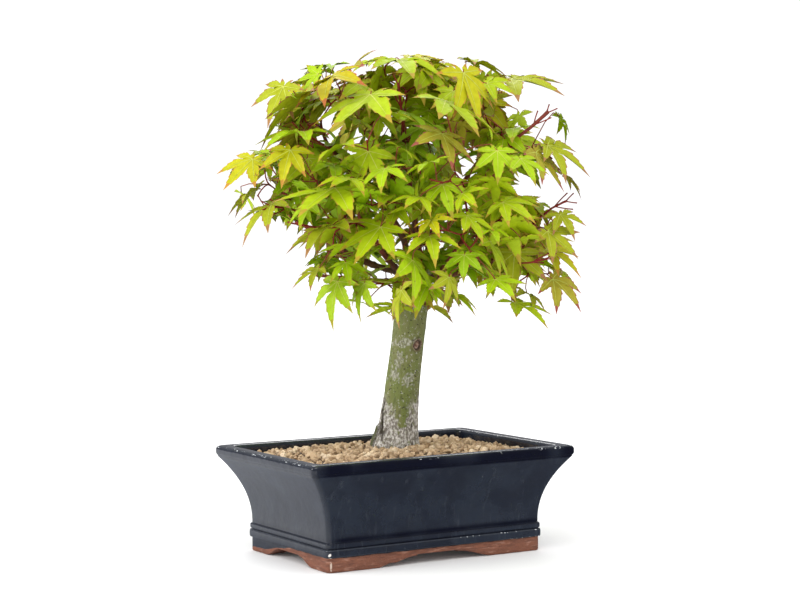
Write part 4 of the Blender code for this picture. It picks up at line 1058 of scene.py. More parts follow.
# Gaps in the crown that a look from the front goes through: where that look comes from, and each
# gap's place across and up, and its half width, in centimetres
GAP_EYE = np.array([0.3, -136.4, 15.9]) * CM
GAPS = ((-1.4, 24.6, 0.22), (0.0, 24.6, 0.32), (1.5, 24.5, 0.38), (3.0, 24.7, 0.20), (-2.5, 20.8, 0.49),
        (-0.4, 21.3, 0.42), (-3.7, 21.7, 0.42), (-4.8, 22.4, 0.35), (8.1, 24.1, 0.42), (8.7, 23.3, 0.45),
        (7.8, 22.6, 0.42), (6.5, 22.6, 0.28), (8.6, 20.7, 0.25), (4.7, 19.1, 0.42), (-8.5, 21.0, 0.56),
        (2.9, 11.8, 0.35), (-1.5, 12.0, 0.28), (10.4, 21.1, 0.49), (11.4, 20.1, 0.42), (5.8, 9.9, 0.49),
        (-3.0, 10.4, 0.28), (-7.5, 14.0, 0.68), (-7.0, 13.0, 0.60), (-5.8, 13.3, 0.50), (-8.7, 17.4, 0.60),
        (-1.7, 10.5, 0.50), (-0.8, 9.8, 0.45), (5.0, 10.6, 0.60), (12.1, 15.0, 0.50), (10.6, 23.0, 0.45),
        (10.6, 17.6, 0.50), (9.3, 17.6, 0.40), (11.4, 16.3, 0.45), (3.9, 9.3, 0.40), (-9.8, 17.7, 0.45),
        (8.9, 11.0, 0.40), (-1.6, 27.1, 0.60), (-12.6, 15.2, 0.60))
# Leaves given one by one on the face of the crown: mass, foot of the blade in centimetres, turn, hang and
# roll of the blade in degrees, length in millimetres, and tint
SET_LEAVES = (
    ("crest", (0.5, -3.5, 26.0), -80, 14, 0, 40, "lime"),
    ("front_left", (-6.6, -6.9, 20.0), -120, 54, -12, 27, "yellow"),
    ("front_left", (-3.72, -8.6, 17.5), -120, 14, 0, 48, "lime"),
    ("front_left", (-3.2, -8.3, 20.2), -120, 6, 24, 34, "lime"),
    ("front_left", (-0.5, -9.6, 18.7), -100, 22, 12, 25, "leaf"),
    ("front_left", (-0.8, -8.7, 15.0), -130, 38, -12, 35, "lime"),
    ("left", (-7.95, -4.3, 16.6), -150, 30, 0, 35, "olive"),
    ("front_left", (-4.9, -5.3, 12.3), -170, 30, -12, 23, "olive"),
    ("front_left", (-3.9, -8.1, 15.1), -120, 14, 12, 39, "olive"),
    ("front_left", (-3.1, -6.6, 12.7), -80, 30, 12, 20, "leaf"),
    ("front_left", (-5.3, -8.2, 16.4), -120, 38, 12, 22, "leaf"),
    ("front_left", (-2.7, -9.6, 18.1), -110, 6, -12, 27, "lime"),
    ("front_low", (-3.7, -4.8, 11.4), -150, 62, -12, 31, "leaf"),
    ("front_low", (-1.9, -5.4, 11.3), -150, 70, 0, 26, "leaf"),
    ("front_low", (0.0, -5.8, 11.3), -120, -2, -12, 28, "olive"),
    ("front_low", (0.5, -10.0, 11.0), -110, 62, 48, 26, "olive"),
    ("front_right", (3.4, -8.2, 23.0), -50, 22, -12, 48, "lime"),
    ("front_right", (8.2, -7.8, 19.3), -60, 38, 0, 24, "leaf"),
    ("front_right", (2.5, -9.8, 19.1), -120, 14, 12, 24, "leaf"),
    ("front_right", (4.4, -9.6, 17.1), -70, 14, 36, 20, "lime"),
    ("front_right", (7.02, -8.2, 16.5), -40, 14, 24, 27, "lime"),
    ("front_right", (4.7, -9.4, 15.7), -50, 38, 0, 25, "lime"),
    ("front_right", (2.4, -9.9, 15.4), -70, 22, 24, 20, "yellow"),
    ("front_right", (2.3, -9.8, 14.4), -80, 22, 0, 28, "lime"),
    ("front_right", (4.5, -9.5, 13.2), -100, 46, 0, 21, "shade_green"),
    ("front_right", (6.1, -8.9, 14.9), -70, 22, -12, 20, "leaf"),
    ("front_right", (6.5, -8.9, 11.6), -60, 22, 12, 24, "leaf"),
    ("front_right", (3.5, -9.8, 11.8), -90, 62, -48, 21, "olive"),
    ("front_right", (1.2, -10.0, 12.9), -70, 46, -36, 33, "leaf"),
    ("front_right", (1.7, -10.0, 16.9), -110, 6, -12, 24, "lime"),
    ("left", (-9.33, -3.0, 19.55), -150, 38, -24, 31, "yellow"),
    ("left", (-9.1, -3.0, 17.5), -150, 30, 24, 28, "olive"),
    ("right_low", (10.2, -4.0, 14.6), -10, 38, 36, 28, "olive"),
    ("right_low", (10.6, -3.0, 11.4), -10, 38, 36, 29, "bronze"),
    ("right_low", (8.0, -4.0, 9.9), -40, 22, 0, 31, "lime"),
    ("right_low", (11.1, -3.0, 15.7), -50, 38, 12, 22, "olive"),
    ("top_left", (-1.4, -7.3, 23.5), -130, 30, 0, 48, "lime"),
    ("top_left", (-4.0, -5.6, 24.8), -100, 22, 24, 39, "orange"),
    ("top_left", (-2.7, -3.0, 25.5), -80, -10, 48, 27, "bronze"),
    ("top_left", (-4.9, -3.5, 25.1), 150, 14, -48, 20, "leaf"),
    ("top_left", (-7.2, -3.5, 24.3), -140, 54, -12, 31, "olive"),
    ("top_left", (-5.92, -5.0, 23.33), -120, 14, 36, 48, "olive"),
    ("top_left", (-5.8, -6.7, 21.2), -130, 6, 0, 36, "leaf"),
    ("top_right", (4.6, -6.7, 24.9), -30, 62, 12, 38, "yellow"),
    ("top_right", (5.2, -2.0, 26.0), -30, 6, -12, 30, "olive"),
    ("top_right", (7.9, -2.5, 24.7), -30, 6, 12, 42, "olive"),
    ("top_right", (6.2, -5.0, 24.3), -20, 14, 36, 21, "lime"),
    ("top_right", (10.3, -3.0, 20.3), 0, 30, 24, 36, "olive"),
    ("top_right", (9.4, -4.5, 19.8), 0, 54, 24, 33, "bronze"),
    ("top_right", (11.5, -2.0, 18.3), -50, 22, -36, 22, "bronze"),
)
# Bare red shoots that stand out past the leaves: the mass whose stem carries them, then knee and
# end of the shoot in centimetres, and its radius in millimetres
BARE_SHOOTS = (
    ("top_right", (7.8, -5.0, 20.1), (10.3, -3.6, 22.5), 1.25),
    ("right_low", (9.6, -1.5, 15.9), (11.7, -1.6, 16.6), 0.8),
    ("right_low", (7.2, -5.4, 12.0), (10.2, -4.0, 12.8), 0.7),
    ("left", (-5.0, -2.2, 16.0), (-8.2, -4.4, 16.4), 0.8),
    ("front_left", (-3.6, -7.2, 14.6), (-6.2, -7.6, 15.2), 0.8),
    ("crest", (0.9, -1.0, 20.0), (0.4, -1.8, 24.6), 1.0),
    ("top_left", (-3.6, -2.6, 19.8), (-6.2, -4.2, 21.4), 0.8),
)
# How far up a bare shoot its spurs stand, how far up those at its tip, their length and radius
SPURS = (0.80, 0.985, 10 * MM, 0.5 * MM)
SHOOT_CLEAR = 4 * MM                            # leaves keep so far from before a bare shoot
# How far a twig, and a last shoot, goes towards the middle of its leaves, and how many those are
TWIG_REACH, SHOOT_REACH, SHOOT_LEAVES = 0.55, 0.85, 4
# Share of its radius that a twig hands on at a fork, the least radius, and the share at its end
TWIG_THINNING, THINNEST_TWIG, TWIG_TAPER = 0.66, 0.55 * MM, 0.86
# Where along a twig and a stalk their rings stand, and the number of sides
TWIG_STOPS, TWIG_SIDES = (0, 0.06, 0.25, 0.5, 0.75, 0.94, 1), 6
STALK_STOPS, STALK_SIDES = (0, 0.1, 0.35, 0.65, 1), 5
STALK_RADII = 0.42 * MM * np.array([1.5, 1.0, 0.9, 0.85, 1.0])
STALK_LEAN = 0.6                                # a stalk leaves its shoot so far back of its leaf
CROWN_HALF = (12.5 * CM, 12.5 * CM, 10 * CM)
# Shares of the crown's half sizes from which a spray is high up, at the side and on the outside
HIGH_UP, AT_SIDE, OUTSIDE = 0.45, 0.8, 0.62


def unit_leaf():
    """A flat leaf of length 1 along +X: its points, which lobe each is on and how far along and
    aside of that lobe's midrib, its faces, and the kind of each (0 blade, 1 tip or tooth, 2 vein).

    Each lobe is two halves.  A half's edge starts where two lobes part, bulges to the lobe's half
    width with three teeth, and runs out to the long tip; its faces are fans from the midrib."""
    points, lobe_of, along, aside, faces, kinds = [(0.0, 0.0)], [3], [0.0], [0.0], [], []

    def add(place, lobe, far, off):
        """One more point, and its number."""
        points.append(tuple(place))
        lobe_of.append(lobe)
        along.append(far)
        aside.append(off)
        return len(points) - 1

    # Lobes part half-way between them, and the last ones 30 degrees past their midribs
    angles = [math.radians(lobe[0]) for lobe in LOBES]
    joins = [angles[0] - math.radians(30), *[(a + b) / 2 for a, b in zip(angles, angles[1:])],
             angles[-1] + math.radians(30)]
    reach = [0.10, 0.17, SINUS, SINUS, SINUS, SINUS, 0.17, 0.10]
    parted = [add((math.cos(a) * r, math.sin(a) * r), min(k, len(LOBES) - 1), r, 0.0)
              for k, (a, r) in enumerate(zip(joins, reach))]
    for lobe, (angle, (_, length, half)) in enumerate(zip(angles, LOBES)):
        ahead = np.array([math.cos(angle), math.sin(angle)])
        left = np.array([-math.sin(angle), math.cos(angle)])
        edge = EDGE if length > 0.4 else EDGE[4:5]
        ribs = [add(ahead * length * vein, lobe, length * vein, 0.0) for _, _, vein in edge if vein]
        tip = add(ahead * length, lobe, length, 0.0)
        for side_sign, start in ((-1, parted[lobe]), (1, parted[lobe + 1])):
            rim = [add((ahead * far + left * side_sign * wide * half / length) * length, lobe, length * far,
                       wide * half) for far, wide, _ in edge]
            fans = [[0, ribs[0], rim[0], start]]
            fans += [[ribs[k], ribs[k + 1], rim[2 * k + 2], rim[2 * k]] for k in range(len(ribs) - 1)]
            red = [[rim[2 * k], rim[2 * k + 2], rim[2 * k + 1]] for k in range(len(ribs) - 1)]
            red.append([ribs[-1], tip, rim[-1]])
            for kind, group in ((0, fans), (1, red)):
                faces += [fan if side_sign > 0 else fan[::-1] for fan in group]
                kinds += [kind] * len(group)
        if length > 0.4:
            for near, far in zip([0, *ribs[:-1]], ribs):
                slim = 0.010 * (1 - along[near] / length), 0.010 * (1 - along[far] / length)
                base = np.array(points[near]), np.array(points[far])
                quad = [add(b + left * s * w, lobe, along[i], 0.0) for b, s, w, i in (
                    (base[0], -1, slim[0], near), (base[1], -1, slim[1], far),
                    (base[1], 1, slim[1], far), (base[0], 1, slim[0], near))]
                faces.append(quad)
                kinds.append(2)
    return np.array(points), np.array(lobe_of), np.array(along), np.array(aside), faces, np.array(kinds)


LEAF_PLACES, LEAF_LOBE, LEAF_ALONG, LEAF_ASIDE, LEAF_FACES, LEAF_KINDS = unit_leaf()
LEAF_RAISED = np.zeros(len(LEAF_PLACES))
for face, kind in zip(LEAF_FACES, LEAF_KINDS):
    if kind == 2:
        LEAF_RAISED[face] = VEIN_RAISED
LEAF_TIPS = np.array([(math.cos(math.radians(a)) * r, math.sin(math.radians(a)) * r, -LEAF_DROOP * r * r)
                      for a, r, _ in LOBES] + [(0, 0, 0)])


def leaf_axes(midribs, rolls):
    """Each leaf's own directions, as rows: along its midrib, to its left, and up off its face."""
    left = np.cross(np.broadcast_to([0, 0, 1.0], midribs.shape), midribs)
    left /= np.linalg.norm(left, axis=-1, keepdims=True)
    face = np.cross(midribs, left)
    cos, sin = np.cos(rolls)[..., None], np.sin(rolls)[..., None]
    return np.stack([midribs, left * cos + face * sin, face * cos - left * sin], -2)


def in_crown(points, share):
    """Which of several sets of points lie wholly inside the crown's outline, drawn in towards
    the crown's middle to a share of its size."""
    heights, left, right = np.array(CROWN_OUTLINE).T * CM
    out = (points - CROWN_MIDDLE) / share
    off = np.linalg.norm(out[..., :2], axis=-1)
    side_share = 0.5 + 0.5 * out[..., 0] / np.maximum(off, MM)
    height = out[..., 2] + CROWN_MIDDLE[2]
    reach = (np.interp(height, heights, left, 0, 0) * (1 - side_share)
             + np.interp(height, heights, right, 0, 0) * side_share)
    return (off < reach).all(axis=-1)


def seen_at(points):
    """Points carried along their lines of sight from the eye to the plane through the trunk."""
    return GAP_EYE + (points - GAP_EYE) * (-GAP_EYE[1] / (points[..., 1:2] - GAP_EYE[1]))


def out_of_gaps(points):
    """Whether a leaf's points keep out of every gap, and out from before the listed leaves.
    A gap is a cone that starts at the eye, so each point is carried along its line of sight."""
    seen = seen_at(points)
    gaps = np.array(GAPS) * CM
    off = np.linalg.norm(seen[..., None, [0, 2]] - gaps[:, :2], axis=-1) - gaps[:, 2]
    before = points[..., 1, None] < SHOWN[:, 3] - 1 * MM
    hides = (np.linalg.norm(seen[..., None, [0, 2]] - SHOWN[:, :2], axis=-1) < SHOWN[:, 2]) & before
    return off.min() > 0 and not hides.any()


def clear_of_limbs(points):
    """Whether a leaf's points keep off every limb."""
    off = np.linalg.norm(points[:, None] - LIMBS[None, :, :3], axis=-1) - LIMBS[None, :, 3]
    return off.min() > LIMB_CLEAR


def in_box(points):
    """Whether a leaf's points keep well within the box of the solids."""
    low, high = np.array(cad_box)
    world = tree_to_world(points)
    return (world > low + BOX_MARGIN).all() and (world < high - BOX_MARGIN).all()


def try_sprays(name, hub, rng):
    """Several sprays at chance places, each drawn in towards the hub until enough of it fits.

    A spray's leaves stand round its middle, each on its own stalk, which rises a little.  A blade
    goes on the way its stalk went, and hangs."""
    count, size = CANDIDATES, len(SPRAY_TURNS)
    aim = rng.normal(size=(count, 3))
    aim /= np.linalg.norm(aim, axis=1, keepdims=True)
    middle = MIDDLES[name] + aim * rng.uniform(*SPRAY_SCATTER, (count, 1))
    out = (middle - CROWN_MIDDLE)[:, :2]
    turn = SPRAY_TURNS + rng.uniform(-TURN_SCATTER, TURN_SCATTER, (count, size))
    turn = np.arctan2(out[:, 1], out[:, 0])[:, None] + np.radians(turn)
    rise = np.radians(rng.uniform(*STALK_RISE, (count, size)))
    stalk = np.stack([np.cos(turn) * np.cos(rise), np.sin(turn) * np.cos(rise), np.sin(rise)], -1)
    feet = middle[:, None] + stalk * rng.uniform(*STALK_REACH, (count, size, 1))
    turn = turn + np.radians(rng.uniform(-LEAF_SWING, LEAF_SWING, (count, size)))
    hang = np.radians(rng.uniform(*LEAF_HANG, (count, size)))
    midribs = np.stack([np.cos(turn) * np.cos(hang), np.sin(turn) * np.cos(hang), -np.sin(hang)], -1)
    lengths = rng.uniform(*LEAF_LENGTHS, (count, size))
    axes = leaf_axes(midribs, np.radians(rng.uniform(-LEAF_ROLL, LEAF_ROLL, (count, size))))
    drawn_in = (1 - (1 - DRAW_IN) ** np.arange(DRAWS))[:, None]
    shift = (hub - middle)[:, None] * drawn_in
    tips = np.einsum("vi,nkij->nkvj", LEAF_TIPS, axes) * lengths[..., None, None] + feet[:, :, None]
    moved = tips[:, None] + shift[:, :, None, None]
    share = rng.uniform(*OUTLINE_SHARE, (count, 1, 1, 1, 1))
    fits = own_space(name, moved, -SPACE_OVERLAP) & in_crown(moved, share)
    first = np.minimum(fits.sum(axis=-1), SPRAY_FULL).argmax(axis=1)
    sprays = [[(feet[k, j] + shift[k, at], axes[k, j], lengths[k, j], moved[k, at, j], None)
               for j in range(size) if fits[k, at, j]] for k, at in enumerate(first)]
    return [spray for spray in sprays if spray]


def set_leaf(foot, turn, hang, roll, length, tint):
    """A leaf that is listed, from its foot and angles.  Any leaf is (foot, own directions,
    length, points for the tests, tint), and its tint is None until its spray's is dealt."""
    turn, hang = math.radians(turn), math.radians(hang)
    midrib = np.array([math.cos(turn) * math.cos(hang), math.sin(turn) * math.cos(hang), -math.sin(hang)])
    axes = leaf_axes(midrib[None], np.radians([roll]))[0]
    foot, length = np.array(foot) * CM, length * MM
    return foot, axes, length, foot + LEAF_TIPS @ axes * length, tint


def leaf_fits(foot, points):
    """Whether a leaf keeps off the limbs, inside the box and out of the gaps."""
    within = foot + (points[:, None] - foot) * np.array(TESTED_AT)[:, None]
    return clear_of_limbs(points) and in_box(points) and out_of_gaps(within)


def grow_leaves(name, hub, rng, others):
    """A mass's leaves: those listed, then sprays, each at the free place that is furthest
    from the leaves already there."""
    leaves = [set_leaf(*row[1:]) for row in SET_LEAVES if row[0] == name]
    for _ in range(MASSES[name][3]):
        tried = try_sprays(name, hub, rng)
        there = np.array([leaf[0] for leaf in others + leaves] or [FAR_AWAY])
        places = np.array([np.mean([leaf[0] for leaf in spray], axis=0) for spray in tried]).reshape(-1, 3)
        apart = np.minimum(np.linalg.norm(places[:, None] - there, axis=-1).min(axis=1), 1.0)
        score = apart + OUTWARD * np.linalg.norm(places - CROWN_MIDDLE, axis=1)
        for k in np.argsort(-score):
            fit = [leaf for leaf in tried[k] if leaf_fits(leaf[0], leaf[3])]
            if fit:
                leaves += fit
                break
    return leaves


def on_curve(start, knee, end, t):
    """The place at t, from 0 to 1, on a quadratic Bezier curve."""
    return start * (1 - t) ** 2 + knee * 2 * t * (1 - t) + end * t * t


def grow_twigs(start, heading, leaves, radius, shoots, twigs, stalks):
    """Twigs that halve the leaves between them, until a shoot carries the few that are left.  A
    twig is (foot, knee, end, radius): it sets out the way its carrier was heading."""
    places = np.array([leaf[0] for leaf in leaves])
    last = len(leaves) <= SHOOT_LEAVES
    end = start + (places.mean(axis=0) - start) * (SHOOT_REACH if last else TWIG_REACH)
    length = np.linalg.norm(end - start)
    knee = start + heading * length * 0.35
    twigs.append((start, knee, end, radius))
    ahead = (end - knee) / np.linalg.norm(end - knee)
    if last:
        for place, axes, *_ in leaves:
            far, off = (place - start) @ ahead, np.linalg.norm(np.cross(place - start, ahead))
            root = on_curve(start, knee, end, np.clip((far - STALK_LEAN * off) / length, 0.2, 0.97))
            reach = np.linalg.norm(place - root)
            stalks.append((root, place - axes[0] * reach * 0.30 + (0, 0, 0.12 * reach), place))
        shoots.append(leaves)
        return
    widest = np.linalg.svd(places - places.mean(axis=0))[2][0]
    order = np.argsort(places @ widest)
    half = len(leaves) // 2
    for part in (order[:half], order[half:]):
        grow_twigs(end, ahead, [leaves[k] for k in part], max(radius * TWIG_THINNING, THINNEST_TWIG),
                   shoots, twigs, stalks)


def bare_shoot(start, knee, end, radius, rng):
    """A shoot without leaves, with a pair of short spurs near its end and another at its tip."""
    share, tip_share, length, spur_radius = SPURS
    ahead = (end - knee) / np.linalg.norm(end - knee)
    side = np.cross(ahead, rng.normal(size=3))
    side /= np.linalg.norm(side)
    parts = [(start, knee, end, radius)]
    for t, size in ((share, 1.0), (tip_share, 0.6)):
        root = on_curve(start, knee, end, t)
        for sign in (-1, 1):
            way = ahead * 0.8 + side * sign * 0.6
            bend, tip = root + way * length * size * 0.4, root + (way + ahead * 0.3) * length * size
            parts.append((root, bend, tip, spur_radius))
    return parts


def bent_tubes(feet, knees, ends, radii, stops, sides):
    """Closed tubes along quadratic Bezier curves, all at once, with rings at the given stops."""
    paths = on_curve(feet[:, None], knees[:, None], ends[:, None], np.array(stops)[None, :, None])
    return join([closed_rings(tube) for tube in tube_rings(paths, radii, sides)])


def leaf_meshes(leaves, rng):
    """Points of many leaves at once.  A blade hangs as curl * distance^2, each lobe by its own
    amount more, and folds up on either side of its midribs."""
    count = len(leaves)
    swing = np.radians(rng.normal(0, LOBE_SWING, (count, len(LOBES))))[:, LEAF_LOBE]
    x = LEAF_PLACES[:, 0] * np.cos(swing) - LEAF_PLACES[:, 1] * np.sin(swing)
    y = LEAF_PLACES[:, 0] * np.sin(swing) + LEAF_PLACES[:, 1] * np.cos(swing)
    droop = rng.uniform(*DROOPS, (count, 1))
    droop = droop + rng.normal(0, DROOP_SCATTER, (count, len(LOBES)))[:, LEAF_LOBE]
    fold = rng.uniform(*FOLDS, (count, 1))
    z = -droop * LEAF_ALONG ** 2 + fold * LEAF_ASIDE + LEAF_RAISED
    flat = np.stack([x, y, z], -1)
    axes = np.array([leaf[1] for leaf in leaves])
    lengths = np.array([leaf[2] for leaf in leaves])
    places = np.array([leaf[0] for leaf in leaves])
    return np.einsum("nvi,nij->nvj", flat, axes) * lengths[:, None, None] + places[:, None]


def leaf_finish(name, colour, rough=0.52):
    """A leaf's own plain colour, a little darker and duller in patches."""
    made, tree, shader, place = new_finish(name)
    mottle = mask(tree, BLOTCHES, Place=place, Size=0.004, Detail=5.0, From=0.35, To=0.65)
    duller = tuple(share * 0.86 for share in colour)
    tree.links.new(between(tree, mottle, colour, duller), shader.inputs["Base Color"])
    tree.links.new(step(tree, mottle, 0, 1, rough, rough + 0.12), shader.inputs["Roughness"])
    shader.inputs["Specular IOR Level"].default_value = 0.22
    return made


# Blade and tip colours of a spray, and how often it is dealt high up or at the sides of the crown,
# on its outside and within it
# Lighter greens dealt outside and the darker shade green dealt within are painted light and shade.
TINTS = {
    "lime":   ((0.375, 0.495, 0.002), (0.42, 0.30, 0.025), 7, 8, 3),
    "leaf":   ((0.350, 0.520, 0.002), (0.36, 0.31, 0.020), 3, 6, 7),
    "shade_green":   ((0.275, 0.450, 0.002), (0.27, 0.26, 0.015), 1, 2, 4),
    "olive":  ((0.36, 0.400, 0.008), (0.36, 0.18, 0.060), 4, 3, 1),
    "yellow": ((0.47, 0.460, 0.002), (0.48, 0.24, 0.030), 2, 0, 0),
    "orange": ((0.47, 0.40, 0.004), (0.42, 0.13, 0.035), 1, 0, 0),
    "bronze": ((0.36, 0.32, 0.020), (0.34, 0.09, 0.060), 1, 1, 0),
}
LEAF_FINISHES = [leaf_finish("maple_" + name + part, tint[k])
                 for name, tint in TINTS.items() for k, part in ((0, "_blade"), (1, "_tip"))]
VEIN_GREEN, STALK_RED = (0.52, 0.57, 0.09), (0.27, 0.060, 0.030)
LEAF_FINISHES.append(leaf_finish("maple_vein", VEIN_GREEN, 0.5))
STALK_FINISH = leaf_finish("red_stalk", STALK_RED, 0.4)


def deal_tints(leaves, rng):
    """The tints of a spray's leaves, one for them all unless a leaf brings its own: gold ones
    high up and at the sides of the crown, lighter ones on its outside and darker ones within, as
    painted light and shade."""
    middle = np.mean([leaf[0] for leaf in leaves], axis=0)
    out = (middle - CROWN_MIDDLE) / CROWN_HALF
    # Sprays outside get lighter greens and those within darker ones: painted light and shade.
    place = 3 if np.linalg.norm(out) > OUTSIDE else 4
    if out[2] > HIGH_UP or abs(out[0]) > AT_SIDE:
        place = 2
    odds = np.array([tint[place] for tint in TINTS.values()], float)
    dealt = rng.choice(len(TINTS), p=odds / odds.sum())
    return [dealt if leaf[4] is None else list(TINTS).index(leaf[4]) for leaf in leaves]


# Balls along the trunk and the boughs, which leaves keep off: middle and radius
trunk_steps = np.linspace(0, TRUNK_HEIGHT, 60)
limb_rows = [np.column_stack([trunk_centre(trunk_steps), trunk_radius(trunk_steps)])]
for name, path in bough_lines.items():
    line = resample(path[:bough_ends[name] + 1], 40)[0]
    limb_rows.append(np.column_stack([line, np.linspace(MASSES[name][2] * MM, BOUGH_TIP, 40)]))
LIMBS = np.concatenate(limb_rows)

# What is kept in sight, a disc for each listed leaf and three for each bare shoot: place
# across and up, half width, and depth
shown_rows = []
for row in SET_LEAVES:
    foot, axes, length, *_ = set_leaf(*row[1:])
    heart = foot + axes[0] * length * 0.42
    shown_rows.append([*seen_at(heart)[[0, 2]], length * 0.34, heart[1]])
for _, knee, tip, _ in BARE_SHOOTS:
    for share in (0.4, 0.7, 1.0):
        place = (np.array(knee) + (np.array(tip) - knee) * share) * CM
        shown_rows.append([*seen_at(place)[[0, 2]], SHOOT_CLEAR, place[1]])
SHOWN = np.array(shown_rows)

all_leaves, all_twigs, all_stalks = [], [], []
for name in MASSES:
    rng = np.random.default_rng(random.Random("leaves of " + name).getrandbits(32))
    path, end = bough_lines[name], bough_ends[name]
    hub = path[round(STEM_SHARE * (len(path) - 1))]
    heading = (path[end] - path[end - 1]) / np.linalg.norm(path[end] - path[end - 1])
    leaves = grow_leaves(name, hub, rng, all_leaves)
    all_leaves += leaves
    knee = path[end] + heading * np.linalg.norm(hub - path[end]) * 0.5
    all_twigs.append((path[end], knee, hub, STEM_RADIUS * 1.1))
    shoots = []
    grow_twigs(hub, heading, leaves, STEM_RADIUS, shoots, all_twigs, all_stalks)
    for _, knee, tip, radius in (row for row in BARE_SHOOTS if row[0] == name):
        all_twigs += bare_shoot(hub, np.array(knee) * CM, np.array(tip) * CM, radius * MM, rng)
    ordered = [leaf for shoot in shoots for leaf in shoot]
    tints = np.concatenate([deal_tints(shoot, rng) for shoot in shoots])
    shapes = leaf_meshes(ordered, rng)
    size = shapes.shape[1]
    faces = [[v + k * size for v in face] for k in range(len(ordered)) for face in LEAF_FACES]
    spray = add_piece("spray_" + name, tree_to_world(shapes.reshape(-1, 3)), faces, LEAF_FINISHES,
                      ["leaves_" + name])
    slots = np.where(LEAF_KINDS == 2, len(TINTS) * 2, tints[:, None] * 2 + np.minimum(LEAF_KINDS, 1))
    spray.data.polygons.foreach_set("material_index", slots.ravel().astype(np.int32))

# Twigs of the whole crown as one piece, swollen at both ends; the thin ones are young and red
feet, knees, ends, widths = (np.array(values) for values in zip(*all_twigs))
stops = np.array(TWIG_STOPS)
swell = 1 + 0.3 * bump_at(stops, 0.07) + 0.3 * bump_at(1 - stops, 0.07)
twig_radii = widths[:, None] * (1 + (TWIG_TAPER - 1) * stops) * swell
twig_points, twig_faces = bent_tubes(feet, knees, ends, twig_radii, TWIG_STOPS, TWIG_SIDES)
twigs = add_piece("twigs", tree_to_world(twig_points), twig_faces, [BRANCH])
young = np.clip(2.1 - widths / (0.9 * MM), 0.3, 1)
store(twigs, "young", np.repeat(young, len(TWIG_STOPS) * TWIG_SIDES + 2))

# Stalks of the whole crown as one piece
feet, knees, ends = (np.array(values) for values in zip(*all_stalks))
stalk_radii = np.broadcast_to(STALK_RADII, (len(feet), len(STALK_STOPS)))
stalk_points, stalk_faces = bent_tubes(feet, knees, ends, stalk_radii, STALK_STOPS, STALK_SIDES)
add_piece("stalks", tree_to_world(stalk_points), stalk_faces, [STALK_FINISH])


# ---------------------------------------------------------------- studio
# A plain white sweep of floor under a broad soft light, as for a catalogue picture.

CAMERA_PLACE = (-68.9 * CM, -115.4 * CM, 22.8 * CM)         # from the pot's middle
CAMERA_YAW, CAMERA_PITCH, CAMERA_ROLL = -31.04, -2.66, -0.44
CAMERA_LENS = 90.0
# Light from the sky at the horizon and overhead, and the sky as the camera and a glaze see it
SKY_LOW, SKY_HIGH = (1.62, 1.62, 1.62), (1.11, 1.11, 1.11)
SKY_SEEN, SKY_MIRRORED = (1.1, 1.1, 1.1), (0.30, 0.30, 0.32)
# The floor's own white, its mirror image on the right and on the left, and where across, in metres,
# the first goes over into the second
FLOOR_WHITE, FLOOR_RIGHT, FLOOR_LEFT = (0.82, 0.82, 0.82), (0.16, 0.175, 0.22), (0.64, 0.65, 0.68)
FLOOR_LINE = (-0.06, -0.17)
FLOOR_GLOW = (0.02, 0.24)                       # near the pot, and far off
FLOOR_SHADE = (0.11, 0.34)                      # how far off it starts to grow, and has grown
LIGHT_AIM = (0, 0, 0.2)


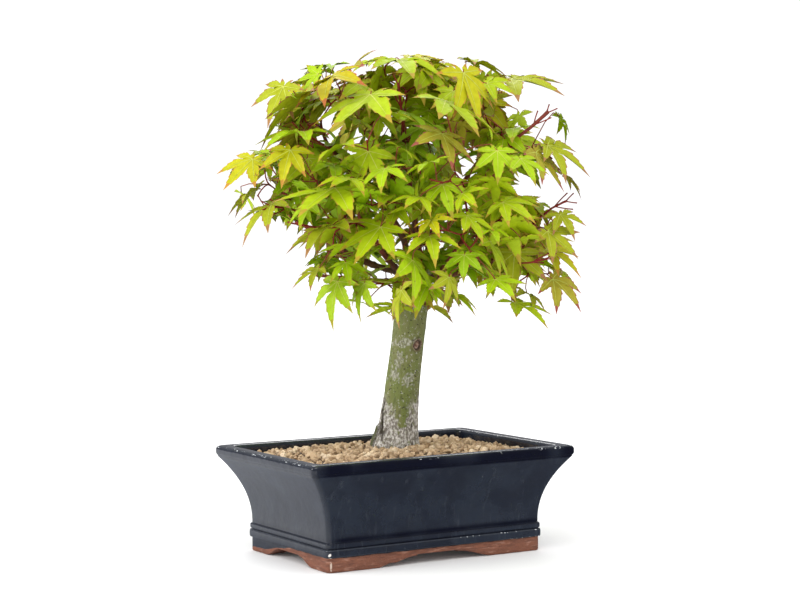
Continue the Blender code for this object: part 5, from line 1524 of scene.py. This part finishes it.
def studio_floor():
    """A plain pale floor, round and far wider than the plant.  Seen straight on it glows a little,
    so that it runs into the white behind it, and its mirror image in the glaze is dimmer."""
    mesh = bpy.data.meshes.new("floor")
    turn = np.linspace(0, math.tau, 64, endpoint=False)
    ring = np.stack([np.cos(turn) * 9, np.sin(turn) * 9, 0 * turn], -1)
    mesh.from_pydata(ring.tolist(), [], [list(range(64))])
    floor = bpy.data.objects.new("floor", mesh)
    bpy.context.scene.collection.objects.link(floor)
    made, tree, shader, place = new_finish("floor_white")
    shader.inputs["Roughness"].default_value = 0.9
    shader.inputs["Specular IOR Level"].default_value = 0.0
    shader.inputs["Emission Color"].default_value = (1, 1, 1, 1)
    ray = shader_node(tree, "LightPath").outputs
    apart = shader_node(tree, "VectorMath", [("operation", "LENGTH")], Vector=place)
    glow = step(tree, apart.outputs["Value"], *FLOOR_SHADE, *FLOOR_GLOW)
    tree.links.new(product(tree, ray["Is Camera Ray"], glow), shader.inputs["Emission Strength"])
    left = step(tree, shader_node(tree, "SeparateXYZ", Vector=place).outputs["X"], *FLOOR_LINE)
    mirrored = between(tree, left, FLOOR_RIGHT, FLOOR_LEFT)
    tree.links.new(between(tree, ray["Is Glossy Ray"], FLOOR_WHITE, mirrored), shader.inputs["Base Color"])
    mesh.materials.append(made)


def soft_light(name, place, size, power):
    """A square soft light that faces the plant's middle."""
    light = bpy.data.lights.new(name, "AREA")
    light.shape, light.size, light.energy = "SQUARE", size, power
    lamp = bpy.data.objects.new(name, light)
    lamp.location = place
    lamp.rotation_euler = (Vector(LIGHT_AIM) - Vector(place)).to_track_quat("-Z", "Y").to_euler()
    bpy.context.scene.collection.objects.link(lamp)


def studio_camera():
    """The camera, from its place beside the pot's middle and its yaw, pitch and roll."""
    camera = bpy.data.objects.new("camera", bpy.data.cameras.new("camera"))
    camera.data.lens, camera.data.sensor_width = CAMERA_LENS, 36.0
    camera.data.clip_start, camera.data.clip_end = 0.05, 50
    turn = (Matrix.Rotation(math.radians(CAMERA_YAW), 4, "Z")
            @ Matrix.Rotation(math.radians(90 + CAMERA_PITCH), 4, "X")
            @ Matrix.Rotation(math.radians(CAMERA_ROLL), 4, "Z"))
    camera.matrix_world = Matrix.Translation(Vector(CAMERA_PLACE) + Vector(pot_middle)) @ turn
    bpy.context.scene.collection.objects.link(camera)
    bpy.context.scene.camera = camera


studio_floor()
studio_camera()
soft_light("key", (-0.5, -0.9, 2.1), size=1.4, power=18)
soft_light("left", (-2.0, 0.6, 0.9), size=1.0, power=22)
soft_light("back", (0.8, 1.5, 1.5), size=1.0, power=12)
world = bpy.data.worlds.new("studio")
world.use_nodes = True
sky = world.node_tree
sky_ray = shader_node(sky, "LightPath").outputs
sky_way = shader_node(sky, "TexCoord").outputs["Generated"]
sky_way = shader_node(sky, "SeparateXYZ", Vector=sky_way).outputs["Z"]
sky_glow = between(sky, step(sky, sky_way, 0.0, 0.8), SKY_LOW, SKY_HIGH)
sky_glow = between(sky, sky_ray["Is Camera Ray"], sky_glow, SKY_SEEN)
sky_glow = between(sky, sky_ray["Is Glossy Ray"], sky_glow, SKY_MIRRORED)
sky.links.new(sky_glow, sky.nodes["Background"].inputs["Color"])
bpy.context.scene.world = world
bpy.context.scene.view_settings.view_transform = "Standard"
